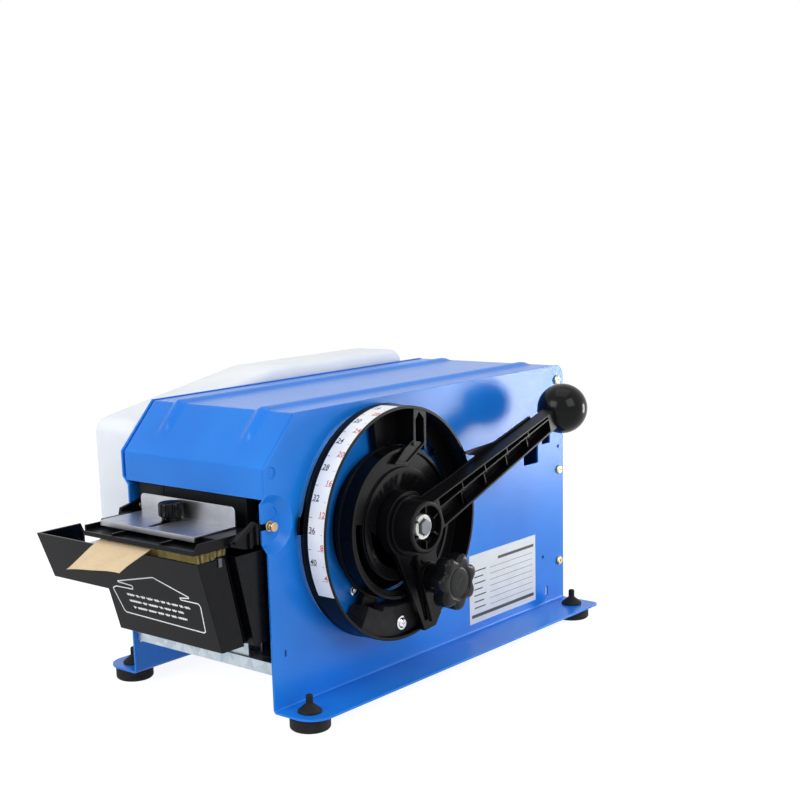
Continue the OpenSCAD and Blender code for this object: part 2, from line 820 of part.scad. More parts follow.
// The chrome screws on the plate inside the ring and on the bumper
module dial_screws() color("silver") at_origin() {
    head_l = 3.5;
    out = base_r + screw_head_r + 2.2;
    translate([xo, dial_y + out * cos(235), dial_z + out * sin(235)]) difference() {
        rod_x(0, 0, screw_head_r, 0, head_l);
        translate([2, 0, 0]) rotate([0, 90, 0]) cylinder(r = 2, h = 3, $fn = 6);
    }
    translate([eye_back + 0.4, dial_y, dial_z - 83 * dial_u]) {
        pan_screw(eye_back + 0.4 - ring_back);
        // the wide washer under its head
        difference() {
            rod_x(0, 0, screw_head_r + 1.8, 0, 0.8);
            rod_x(0, 0, screw_r, -1, 2);
        }
    }
}

// --------------------------------------------------------- handle and its body

// The handle's own frame: Y along the arm, from the shaft
module at_handle() {
    translate([0, dial_y, dial_z]) rotate([arm_angle, 0, 0]) children();
}

// Half the arm's height at a distance from the shaft
function arm_half(d) = arm_root + (arm_tip - arm_root) * d / (arm_l - ball_r);

module pull_handle() color("#141415") at_origin() at_handle() {
    tip = arm_l - ball_r * 0.6;
    rib = 1.6;
    cells = 5;
    from = hub_r + 4;
    to = arm_l - ball_r - 8;
    pitch = (to - from) / cells;
    // the long rib lies nearer to the arm's upper edge
    rib_v = 4.6;
    difference() {
        slab_x(point_front, arm_t) polygon([
            [0, -arm_half(0)], [tip, -arm_half(tip)], [tip, arm_half(tip)], [0, arm_half(0)]]);
        rod_x(0, 0, hub_r - 1, 0, star_front);
        translate([ball_x, arm_l, 0]) sphere(ball_r);
        for (i = [0:cells - 1]) arm_cell(from + i * pitch, from + (i + 1) * pitch - rib, rib, rib_v);
        // the cross ribs stand lower than the rims
        slab_x(arm_front - 3, 4) polygon([
            [from, rib_v - 2.2], [to - rib, rib_v - 2.2],
            [to - rib, 2 - arm_half(to)], [from, 2 - arm_half(from)]]);
    }
    turned_x(0, 0) polygon([
        [shaft_r + fit, eye_front + 0.1], [16 - 0.1, eye_front + 0.1], [16 - 0.1, point_front],
        [hub_r, point_front], [hub_r, hub_front - 1], [hub_r - 1, hub_front], [hub_r - 3.5, hub_front],
        [hub_r - 3.5, hub_floor], [shaft_r + fit, hub_floor]]);
    for (i = [0:5]) rotate([60 * i + 12, 0, 0])
        box([hub_floor - 1, 11, -rib / 2], [hub_front - 1.5, hub_r - 3, rib / 2]);
}

// The two hollows of the arm between d0 and d1, above and below its long rib
module arm_cell(d0, d1, rib, rib_v) {
    slab_x(point_front + 3, arm_t) {
        polygon([
            [d0, rib_v + rib / 2], [d1, rib_v + rib / 2],
            [d1, arm_half(d1) - 1.6], [d0, arm_half(d0) - 1.6]]);
        polygon([
            [d0, rib_v - rib / 2], [d1, rib_v - rib / 2], [d1, 2 - arm_half(d1)], [d0, 2 - arm_half(d0)]]);
    }
}

module ball_knob() color("#0d0d0e") at_origin() at_handle()
    translate([ball_x, arm_l, 0]) sphere(ball_r, $fn = 96);

module main_shaft() color("silver") at_origin() translate([0, dial_y, dial_z]) {
    rod_x(0, 0, shaft_r, -xo - 1.9, hub_floor);
    rod_x(0, 0, shaft_r - 2, hub_floor, hub_floor + 3);
    translate([hub_floor + 3, 0, 0]) rotate([0, 90, 0]) cylinder(r = 6.8, h = 2.5, $fn = 6);
}

module shaft_ring() color("white") at_origin() turned_x(dial_y, dial_z)
    translate([shaft_r - 2 + fit, hub_floor]) square([4 - fit, 2.8]);

// The arm's back layer, with a small fin that points at the scale
module pointer_plate() color("#19191b") at_origin() at_handle() {
    lead = 15;
    end = arm_l - 40;
    slab_x(point_back, point_t) difference() {
        union() {
            circle(eye_r - 3);
            polygon([
                [0, 17], [0, -15], [end, 1 - arm_half(end)], [end, arm_half(end) + 1.6],
                [126, arm_half(126) + 2], pointer_l * [cos(lead), sin(lead)],
                (pointer_l - 3) * [cos(lead - 0.3), sin(lead - 0.3)],
                [pointer_l + 9, arm_half(pointer_l) + 1.6],
                [58, arm_half(58) + 1.2]]);
        }
        circle(16);
    }
}

// ----------------------------------------------------------------------- gears

// Involute of a pressure angle, in radians
function inv(a) = tan(a) - a * PI / 180;

// Half the angle of a tooth at radius r, in degrees
function tooth_half(r, n, play) =
    let (pitch_r = gear_module * n / 2, base = pitch_r * cos(20), a = r > base ? acos(base / r) : 0)
    ((PI * gear_module / 2 - play) / (2 * pitch_r) + inv(20) - inv(a)) * 180 / PI;

// Outline of a spur gear with n teeth, its first tooth at angle first
function gear_outline(n, first, play) =
    let (pitch_r = gear_module * n / 2, root = pitch_r - 1.25 * gear_module, tip = pitch_r + gear_module,
        radii = [root, max(root + 0.1, pitch_r * cos(20)), pitch_r, tip - gear_module / 2, tip])
    [for (i = [0:n - 1])
        let (c = first + 360 * i / n)
        each concat(
            [for (r = radii) r * [cos(c - tooth_half(r, n, play)), sin(c - tooth_half(r, n, play))]],
            [for (r = reversed(radii)) let (a = c + tooth_half(r, n, play)) r * [cos(a), sin(a)]])];

tooth_play = 0.25;

module drive_gear() color("dimgray") at_origin() translate([0, dial_y, dial_z]) slab_x(gear_x, gear_w)
    difference() {
        polygon(gear_outline(drive_teeth, feed_angle, tooth_play));
        circle(shaft_r + fit);
        for (i = [0:5]) rotate(60 * i) translate([gear_module * drive_teeth / 3.4, 0]) circle(9);
    }

module pinion() color("dimgray") at_origin() translate([0, feed_y, feed_z]) slab_x(gear_x, gear_w)
    difference() {
        polygon(gear_outline(pinion_teeth, feed_angle + 180 + 180 / pinion_teeth, tooth_play));
        circle(feed_shaft_r + fit);
    }

module feed_wheel() color("#4a3a2c") at_origin() difference() {
    rod_x(feed_y, feed_z, feed_r, -feed_w / 2, feed_w / 2);
    rod_x(feed_y, feed_z, feed_shaft_r + fit, -feed_w, feed_w);
    for (x = [-feed_w / 4, 0, feed_w / 4]) difference() {
        rod_x(feed_y, feed_z, feed_r + 1, x - 1, x + 1);
        rod_x(feed_y, feed_z, feed_r - 1.5, x - 2, x + 2);
    }
}

module feed_shaft() color("silver") at_origin()
    rod_x(feed_y, feed_z, feed_shaft_r, -xi + slide_gap, xi - slide_gap);

module pinch_roller() color("#2a2a2c") at_origin() {
    rod_x(feed_y, pinch_z, pinch_r, -feed_w / 2, feed_w / 2);
    rod_x(feed_y, pinch_z, pin_shaft_r, -bed_hw - 2, bed_hw + 2);
}

// ---------------------------------------------------------------------- blades

module shear_blade() color("silver") at_origin() slab_y(blade_y, blade_t) polygon([
    [-blade_hw, blade_z], [blade_hw, blade_z + blade_slant], [blade_hw, blade_z + blade_h],
    [-blade_hw, blade_z + blade_h]]);

// ----------------------------------------------------------------- length stop

// The stop arm's own frame: Y along the arm, from the shaft
module at_stop() {
    translate([0, dial_y, dial_z]) rotate([stop_angle, 0, 0]) children();
}

// Place of the star knob in the stop arm's frame, in (y, z)
star_place = star_dist * [cos(star_lead), sin(star_lead)];

module stop_arm() color("#19191b") at_origin() at_stop() {
    half = 19;
    difference() {
        union() {
            rod_x(0, 0, eye_r, eye_back, eye_front);
            slab_x(stop_back, eye_front - stop_back) polygon([
                [0, -eye_r + 3], [stop_l - 26, -14], [stop_l, -10], [stop_l + 3, 4], [stop_l - 4, 14],
                [stop_l - 24, half + 2], [36, half + 6], [10, eye_r - 3]]);
            rod_x(star_place[0], star_place[1], 13, stop_back, star_shank - 0.3);
        }
        rod_x(0, 0, collar_r + fit, 0, star_front);
        slab_x(stop_back + 2, 10) polygon([[30, -9], [stop_l - 8, -7.5], [stop_l - 8, -3], [30, 1]]);
        slab_x(eye_front - 1.2, 3) polygon([[34, 4], [40, 2], [40, 8]]);
    }
    // the raised rib along the arm
    slab_x(eye_front - 0.5, 2.5)
        polygon([[eye_r + 1, -2.5], [stop_l - 4, -1.5], [stop_l - 4, 1.5], [eye_r + 1, 1]]);
}

module star_knob() color("#0f0f10") at_origin() at_stop() translate([0, star_place[0], star_place[1]]) {
    waist = star_r - 4.5;
    difference() {
        union() {
            slab_x(star_back, star_front - star_back) {
                circle(waist);
                for (i = [0:star_lobes - 1])
                    rotate(360 * i / star_lobes) translate([star_r - 6, 0]) circle(6);
            }
            rod_x(0, 0, 12, star_shank, star_back + 1);
        }
        translate([star_front - 0.8, 0, 0]) rotate([0, 90, 0]) cylinder(r = waist * 0.62, h = 2);
    }
}

// ------------------------------------------------------------------- top cover

cover_hw = xi - cover_gap;
cover_top = plate_top - cover_drop;
cover_y0 = 1;
cover_y1 = plate_l - 1.3;
cover_fold = fold_z - 0.5;
apron_z = cover_fold - apron_h;
cover_slope = atan2(cover_top - cover_fold, slope_y - cover_y0);
cover_lip = cover_hinge[1] - 15;
cover_rear_r = 8;

// The cover's profile in (y, z), set in from its outer face
function cover_edge(i) = concat(
    [[cover_y0 + i, apron_z],
        [cover_y0 + i, cover_fold + i * tan(cover_slope) - i / cos(cover_slope)],
        [slope_y + i * (1 / cos(cover_slope) - 1) / tan(cover_slope), cover_top - i]],
    arc([cover_y1 - cover_rear_r, cover_top - cover_rear_r], cover_rear_r - i, 90, 0, 8),
    [[cover_y1 - i, cover_lip]]);

// A bead's cross-section in (x, z), standing on z = 0
module bead_section() {
    r = (pow(bead_w / 2, 2) + pow(bead_h, 2)) / (2 * bead_h);
    intersection() {
        translate([0, bead_h - r]) circle(r, $fn = 96);
        translate([-bead_w, -0.4]) square([2 * bead_w, 2 * bead_h]);
    }
}

module top_cover() color("royalblue") at_origin() {
    slope_l = norm([slope_y - cover_y0, cover_top - cover_fold]);
    run = slope_l * bead_share;
    skirt_z = dish_z + dish_r + 1.5;
    difference() {
        slab_x(-cover_hw, 2 * cover_hw) polygon(concat(cover_edge(0), reversed(cover_edge(cover_t))));
        both_sides() slab_y(cover_y0 - 1, 4) polygon([
            [cover_hw - 6, apron_z - 1], [cover_hw + 1, apron_z - 1], [cover_hw + 1, skirt_z]]);
    }
    both_sides() difference() {
        slab_x(cover_hw - cover_t, cover_t) {
            intersection() {
                polygon(cover_edge(cover_t / 2));
                polygon([
                    [cover_y0, skirt_z], [cover_y0, cover_fold], [slope_y, cover_top], [cover_y1, cover_top],
                    [cover_y1, cover_lip], [cover_hinge[0], cover_lip],
                    [cover_hinge[0] - 18, cover_top - skirt_h],
                    [slope_y + 4, cover_top - skirt_h], [cover_y0 + skirt_h, cover_fold - 4],
                    [cover_y0 + skirt_h, skirt_z]]);
            }
            translate(cover_hinge) circle(9);
        }
        rod_x(cover_hinge[0], cover_hinge[1], screw_r + fit, 0, xo);
    }
    for (x = [-bead_x, bead_x]) {
        translate([x, 0, cover_top]) slab_y(slope_y, cover_y1 - cover_rear_r - slope_y) bead_section();
        translate([x, slope_y, cover_top]) rotate([cover_slope, 0, 0]) difference() {
            slab_y(-run, run + 1) bead_section();
            translate([-bead_w, -run, 0]) rotate([14, 0, 0]) cube([2 * bead_w, run, 3 * bead_h]);
        }
    }
}

// ------------------------------------------------------------- moistening unit

module pressure_frame() color("#19191b") at_origin() {
    t = frame_t;
    cut = 7;
    y1 = press_y1 + 3;
    slab_z(frame_z, t) polygon([
        [frame_x0 + cut, frame_y], [frame_x1, frame_y], [frame_x1, deck_y0 + t],
        [frame_x0, deck_y0 + t], [frame_x0, frame_y + cut]]);
    box([frame_x0 + cut, frame_y, frame_z + t], [frame_x1, frame_y + t, frame_z + 3.5]);
    for (x = [-25.5, 30]) box([x, frame_y + t, frame_z + t], [x + t, deck_y0, frame_z + 5]);
    slab_x(frame_x1 - t, t) polygon([
        [frame_y + 1, frame_z + t], [deck_y0 + t, frame_z + t], [deck_y0 + t, frame_top],
        [frame_y + 5, frame_top], [frame_y + 1, frame_z + 3.5]]);
    box([frame_x0, frame_y + cut, frame_z + t], [frame_x0 + t, deck_y0 + t, frame_top - 2]);
    box([frame_x0, deck_y0, frame_z + t], [frame_x1, deck_y0 + t, frame_top]);
    difference() {
        box([frame_x0, deck_y0 + t, frame_top - t], [frame_x1, y1, frame_top]);
        translate([knob_x, knob_y, frame_z]) cylinder(r = knob_shank_r + fit, h = 2 * frame_h);
    }
    for (x = [frame_x0, frame_x1 - t])
        box([x, deck_y0 + t, frame_z], [x + t, y1, frame_top - t]);
    // the ears reach back to the hinge pins
    ear(-ear_x1, ear_t - 1, -14);
    ear(frame_x1, ear_t, -30);
    box([-ear_x1 + ear_t - 1, -14, frame_top - 2 * t], [frame_x0, -6, frame_top]);
    knob_boss();
}

// The small boss under the deck that holds the plate's knob
module knob_boss() {
    difference() {
        translate([knob_x, knob_y, frame_z + 1]) cylinder(r = 6, h = frame_top - frame_t - frame_z - 1);
        translate([knob_x, knob_y, frame_z]) cylinder(r = knob_shank_r + fit, h = frame_h);
    }
}

// One ear of the frame with its bore, in a slab of thickness t from x, back from y = front
module ear(x, t, front) {
    slab_x(x, t) difference() {
        union() {
            polygon([
                [front, frame_z + 1], [front, frame_z + 4], [-12, frame_top + 3],
                [hinge_y - 2, hinge_z + 4.6],
                [hinge_y, hinge_z], [hinge_y - 3, hinge_z - 4.2], [-8, frame_z - 3.5], [-16, frame_z - 3.5]]);
            translate([hinge_y, hinge_z]) circle(5);
        }
        translate([hinge_y, hinge_z]) circle(hinge_pin_r + fit);
    }
}

// Ribs and a slanted link bar on the outside of the right ear
module frame_links() color("#202124") at_origin() {
    slab_x(ear_x1, 3) stadium([-26, frame_z + 4], [-8, frame_z + 15], 1.6);
    slab_x(ear_x1, 2.2) {
        translate([-12, frame_z - 3.5]) square([2.4, 12]);
        translate([-5, frame_z - 2]) square([2, 16]);
    }
}

module steel_plate() color("lightsteelblue") at_origin() {
    lip = 3;
    corner = 4;
    difference() {
        slab_z(press_z, press_t) square_plate();
        slab_z(press_z - 1, press_t + 2) stadium([-2, press_y0 + 7], [-3.5, knob_y - 2], 3);
        slab_z(press_z - 1, press_t + 2)
            stadium([knob_x, knob_y - 7], [knob_x, knob_y + 1], knob_shank_r + 0.6);
    }
    box([-press_hw, press_y0 - press_t, press_z - lip], [press_hw, press_y0, press_z + press_t]);
    slab_y(press_y1 - press_t, press_t) polygon(concat(
        [[-press_hw, press_z + press_t], [press_hw, press_z + press_t]],
        arc([press_hw - corner, press_z + press_h + press_t - corner], corner, 0, 90, 6),
        arc([-press_hw + corner, press_z + press_h + press_t - corner], corner, 90, 180, 6)));
}

// The steel plate's flat in (x, y)
module square_plate() {
    translate([-press_hw, press_y0]) square([2 * press_hw, press_l]);
}

module plate_knob() color("#0d0d0e") at_origin() translate([knob_x, knob_y, 0]) {
    flutes = 14;
    collar = 3;
    translate([0, 0, knob_z]) cylinder(r = plate_knob_r - 2.5, h = collar);
    slab_z(knob_z + collar, plate_knob_h - collar) difference() {
        circle(plate_knob_r);
        for (i = [0:flutes - 1]) rotate(360 * i / flutes) translate([plate_knob_r + 0.5, 0]) circle(1.3);
    }
    translate([0, 0, frame_z + 1]) cylinder(r = knob_shank_r, h = knob_z - frame_z - 1);
}

// ------------------------------------------------------------------ water tank

// The tank's front face leans back towards its foot
function front_y(z) = tank_y + tank_slope * (tank_top - z);

// The tank's shape with every side and floor set in by s; one slanted cut makes the whole front
module tank_form(s) {
    lean = s * sqrt(1 + pow(tank_slope, 2));
    top = tank_top + (s > 0 ? 1 : 0);
    rear_top = tank_y + 27;
    rear_low = rear_top + 16;
    low = tank_z + s;
    wing_low_z = wing_z + s;
    difference() {
        union() {
            slab_x(trough_x0 + s, trough_x1 - trough_x0 - 2 * s) polygon([
                [tank_y - 2, low], [rear_low - s, low], [rear_top - s, top], [tank_y - 2, top]]);
            slab_x(trough_x0 + 8 + s, trough_x1 - trough_x0 - 13 - 2 * s) polygon([
                [-32, low], [2, low], [-14, top], [-48, top]]);
            slab_x(chamber_x0 + s, chamber_x1 - chamber_x0 - 2 * s) polygon([
                [rear_low + 6 + s, low], [chamber_y1 - s, low],
                [chamber_y1 - s, top], [rear_top + 6 + s, top]]);
            slab_y(tank_y - 2, wing_y1 - s - tank_y + 2) polygon([
                [wing_x + 6 + s, wing_low_z], [trough_x0 + 16 - s, wing_low_z],
                [trough_x0 + 16 - s, top], [wing_x + s, top]]);
        }
        slab_x(wing_x - 2, trough_x1 - wing_x + 4) polygon([
            [front_y(low - 2) + lean, low - 2], [front_y(top + 2) + lean, top + 2],
            [tank_y - 6, top + 2], [tank_y - 6, low - 2]]);
    }
}

module water_tank() color("#161618") at_origin() difference() {
    tank_form(0);
    tank_form(tank_t);
    // the rear wall of the wing is lowered under the bottle's spout
    slab_y(wing_y1 - tank_t - 0.5, tank_t + 1) polygon([
        [wing_x + 1, tank_top + 1], [notch_x, tank_top - 6], [notch_x, wing_low],
        [chamber_x0 - 2, wing_low], [chamber_x0 - 2, tank_top + 1]]);
}

module brush_backing() color("#8a6a3c") at_origin() {
    box([backing_x[0], backing_y[0], backing_z[0]], [backing_x[1], backing_y[1], backing_z[1]]);
    for (x = [backing_x[0], backing_x[1] - 6])
        box([x, -36, tank_z + tank_t + roll_gap], [x + 6, -29, backing_z[0]]);
}

// A tapered tuft with four sides between two points
module tuft(p, q, r) {
    ring = [for (i = [0:3]) r * [cos(90 * i), sin(90 * i), 0]];
    polyhedron(
        points = concat([for (c = ring) p + c], [for (c = ring) q + 0.7 * c]),
        faces = concat(
            [[0, 1, 2], [0, 2, 3], [4, 6, 5], [4, 7, 6]],
            [for (i = [0:3]) [i, i + 4, (i + 1) % 4]],
            [for (i = [0:3]) [(i + 1) % 4, i + 4, (i + 1) % 4 + 4]]));
}

// Tufts that fan out towards the front and the back, fused to a slice of the backing
module brush_bristles() color("#d9c48a") at_origin() {
    root_z = backing_z[1] + slice_t;
    root_y = [backing_y[0] + 1.5, backing_y[1] - 1.5];
    tip_y = [root_y[0] - 8, root_y[1] + 3];
    root_x = [backing_x[0] + 1.5, backing_x[1] - 1.5];
    box([backing_x[0], backing_y[0], backing_z[1]], [backing_x[1], backing_y[1], root_z]);
    for (i = [0:bristle_cols - 1], j = [0:bristle_rows - 1]) {
        across = root_x[0] + (root_x[1] - root_x[0]) * i / (bristle_cols - 1);
        share = j / (bristle_rows - 1);
        root = root_y[0] + (root_y[1] - root_y[0]) * share;
        tip = tip_y[0] + (tip_y[1] - tip_y[0]) * share;
        tuft([across, root, root_z - 0.5], [across, tip, bristle_top - 0.8 * ((i + j) % 3)], bristle_r);
    }
}

module tank_clip() color("silver") at_origin() {
    y0 = -41;
    y1 = -37.5;
    t = 0.8;
    out = trough_x1 + slide_gap;
    in = trough_x1 - tank_t - slide_gap;
    box([in - t, y0, tank_top], [out + t, y1, tank_top + t]);
    box([out, y0, tank_top - 6], [out + t, y1, tank_top]);
    box([in - t, y0, tank_top - 9], [in, y1, tank_top]);
}

// The cut end of the tape, over the brush and the tank's front wall
module tape_strip() color("burlywood") at_origin() {
    path = [[-26, strip_z], [-53.5, strip_z], [-58, strip_z - 1], [-63.5, strip_z - 3], [-72, strip_z - 6.4],
        [-82, strip_z - 10.6], [-tape_reach, strip_z - 15.4]];
    slab_x(strip_x[0], strip_x[1] - strip_x[0]) polygon(concat(
        path, reversed([for (p = path) p + [0, strip_t]])));
}

// ---------------------------------------------------------------------- bottle

// The corner between three points, rounded with radius r
function rounded(a, p, b, r, n) =
    let (u = (a - p) / norm(a - p), v = (b - p) / norm(b - p), half = acos(u * v) / 2,
        d = r / tan(half), c = p + (u + v) / norm(u + v) * r / sin(half),
        s = p + u * d - c, e = p + v * d - c, a0 = atan2(s[1], s[0]), turn = atan2(e[1], e[0]) - a0,
        sweep = turn > 180 ? turn - 360 : turn < -180 ? turn + 360 : turn)
    arc(c, r, a0, a0 + sweep, n);

// The bottle's side view in (y, z), set in by s
function bottle_outline(s) =
    let (y0 = bottle_y + s, y1 = bottle_y + bottle_l - s, z0 = bottle_z + s, top = bottle_top - s,
        shoulder = [bottle_y + 0.47 * bottle_l - s * 0.1, top], brow = [y0, bottle_top - 30 - s * 1.1],
        corners = [[y0, z0], [y1, z0], [y1, top], shoulder, brow])
    [for (i = [0:4]) each rounded(corners[(i + 4) % 5], corners[i], corners[(i + 1) % 5], bottle_r - s, 5)];

module water_bottle() color("white") at_origin() difference() {
    slab_x(bottle_x - bottle_w, bottle_w) polygon(bottle_outline(0));
    slab_x(bottle_x - bottle_w + bottle_t, bottle_w - 2 * bottle_t) polygon(bottle_outline(bottle_t));
    rod_y(spout_x, spout_z, spout_r - 1.5, bottle_y - 1, bottle_y + bottle_t + 1);
}

module bottle_spout() color("white") at_origin() difference() {
    union() {
        rod_y(spout_x, spout_z, spout_r, spout_y, bottle_y);
        rod_y(spout_x, spout_z, spout_r + 4, bottle_y - 9, bottle_y);
    }
    rod_y(spout_x, spout_z, spout_r - 1.5, spout_y - 1, bottle_y + 1);
}

// ------------------------------------------------------------------- tape roll

module tape_roll() color("burlywood") at_origin() difference() {
    rod_x(roll_y, roll_z, roll_r, -tape_w / 2, tape_w / 2);
    rod_x(roll_y, roll_z, core_r + fit, -tape_w, tape_w);
}

module roll_core() color("tan") at_origin() difference() {
    rod_x(roll_y, roll_z, core_r, -tape_w / 2, tape_w / 2);
    rod_x(roll_y, roll_z, core_r - core_t, -tape_w, tape_w);
}

module cradle_roller(y) {
    rod_x(y, cradle_z, cradle_r, -cradle_hw + 3, cradle_hw - 3);
    rod_x(y, cradle_z, pin_shaft_r, -cradle_hw - 1.5, cradle_hw + 1.5);
}

module front_cradle_roller() color("dimgray") at_origin() cradle_roller(roll_y - cradle_dy);

module rear_cradle_roller() color("dimgray") at_origin() cradle_roller(roll_y + cradle_dy);

right_side_plate();
left_side_plate();
base_plate();
rear_panel();
front_guard();
rubber_feet();
dial_ring();
dial_cup();
scale_band();
bumper_block();
top_bracket();
rating_plate();
bearing_bushes();
feed_bearings();
tie_rod();
tape_bed();
tape_guides();
lower_blade();
blade_guides();
roll_cradle();
tape_web();
bottle_shelf();
tank_rest();
hinge_pins();
side_screws();
dial_screws();
pull_handle();
ball_knob();
main_shaft();
drive_gear();
pointer_plate();
shaft_ring();
feed_wheel();
feed_shaft();
pinion();
pinch_roller();
shear_blade();
stop_arm();
star_knob();
top_cover();
pressure_frame();
frame_links();
steel_plate();
plate_knob();
water_tank();
brush_backing();
brush_bristles();
tank_clip();
tape_strip();
water_bottle();
bottle_spout();
tape_roll();
roll_core();
front_cradle_roller();
rear_cradle_roller();
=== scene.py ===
"""Looks of a gummed tape dispenser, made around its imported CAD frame.

Lengths in the classes are machine millimetres: X = 0 is half way between the side plates (+X is the dial
side), Y = 0 is the plates' front edge (-Y is the front) and Z = 0 is the bench.
"""

import json
import logging
import math
from dataclasses import dataclass
from enum import Enum
from typing import Any, Mapping, Sequence, Union

import bmesh
import bpy
import numpy as np
from mathutils import Matrix, Vector

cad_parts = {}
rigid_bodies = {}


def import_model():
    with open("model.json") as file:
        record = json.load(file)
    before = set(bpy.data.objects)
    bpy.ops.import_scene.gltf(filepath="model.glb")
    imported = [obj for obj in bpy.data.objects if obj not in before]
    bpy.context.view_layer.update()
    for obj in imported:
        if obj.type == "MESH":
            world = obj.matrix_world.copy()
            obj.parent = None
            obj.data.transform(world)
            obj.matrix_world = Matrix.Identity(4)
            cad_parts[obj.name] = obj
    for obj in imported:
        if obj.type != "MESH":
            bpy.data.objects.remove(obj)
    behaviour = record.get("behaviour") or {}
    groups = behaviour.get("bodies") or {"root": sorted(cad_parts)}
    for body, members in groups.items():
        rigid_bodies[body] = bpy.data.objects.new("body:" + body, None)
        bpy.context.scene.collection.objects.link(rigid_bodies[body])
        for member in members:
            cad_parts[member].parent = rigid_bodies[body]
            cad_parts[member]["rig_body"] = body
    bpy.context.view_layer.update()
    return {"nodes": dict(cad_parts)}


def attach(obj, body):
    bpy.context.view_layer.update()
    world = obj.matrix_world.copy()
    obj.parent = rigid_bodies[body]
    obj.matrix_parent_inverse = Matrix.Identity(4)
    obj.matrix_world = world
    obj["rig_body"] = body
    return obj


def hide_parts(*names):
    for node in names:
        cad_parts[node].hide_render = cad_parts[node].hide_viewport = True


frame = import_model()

LOG = logging.getLogger("tape_dispenser")

Array = np.ndarray
Pair = tuple[float, float]
Triple = tuple[float, float, float]
Colour = tuple[float, float, float, float]
Value = Union["Socket", float, int, Sequence[float]]

MM = 0.001
ROW_SHIFT = np.array([0.25, -156.0, 0.0])
SHAFT = (128.0, 140.0)
WHITE = (1.0, 1.0, 1.0, 1.0)


# ------------------------------------------------------------------- shader sockets


class Socket:
    """An output of a shader node. Arithmetic on it adds Math nodes to its recipe."""

    def __init__(self, recipe: "Recipe", outlet: bpy.types.NodeSocket) -> None:
        """Keeps the recipe and the output that this socket stands for."""
        self.recipe = recipe
        self.outlet = outlet

    def _math(self, operation: str, *operands: Value) -> "Socket":
        """The result of one Math node on its operands."""
        return self.recipe.node("ShaderNodeMath", {"operation": operation}, dict(enumerate(operands)))

    def __add__(self, other: Value) -> "Socket":
        """Sum."""
        return self._math("ADD", self, other)

    def __sub__(self, other: Value) -> "Socket":
        """Difference."""
        return self._math("SUBTRACT", self, other)

    def __rsub__(self, other: Value) -> "Socket":
        """Difference, the other way round."""
        return self._math("SUBTRACT", other, self)

    def __mul__(self, other: Value) -> "Socket":
        """Product."""
        return self._math("MULTIPLY", self, other)

    def __truediv__(self, other: Value) -> "Socket":
        """Quotient."""
        return self._math("DIVIDE", self, other)

    def __rtruediv__(self, other: Value) -> "Socket":
        """Quotient, the other way round."""
        return self._math("DIVIDE", other, self)

    __radd__ = __add__
    __rmul__ = __mul__

    def at_least(self, other: Value) -> "Socket":
        """The larger of the two."""
        return self._math("MAXIMUM", self, other)

    def clamped(self) -> "Socket":
        """The number held between 0 and 1."""
        return self._math("MINIMUM", self.at_least(0.0), 1.0)

    def sine(self) -> "Socket":
        """Sine."""
        return self._math("SINE", self)


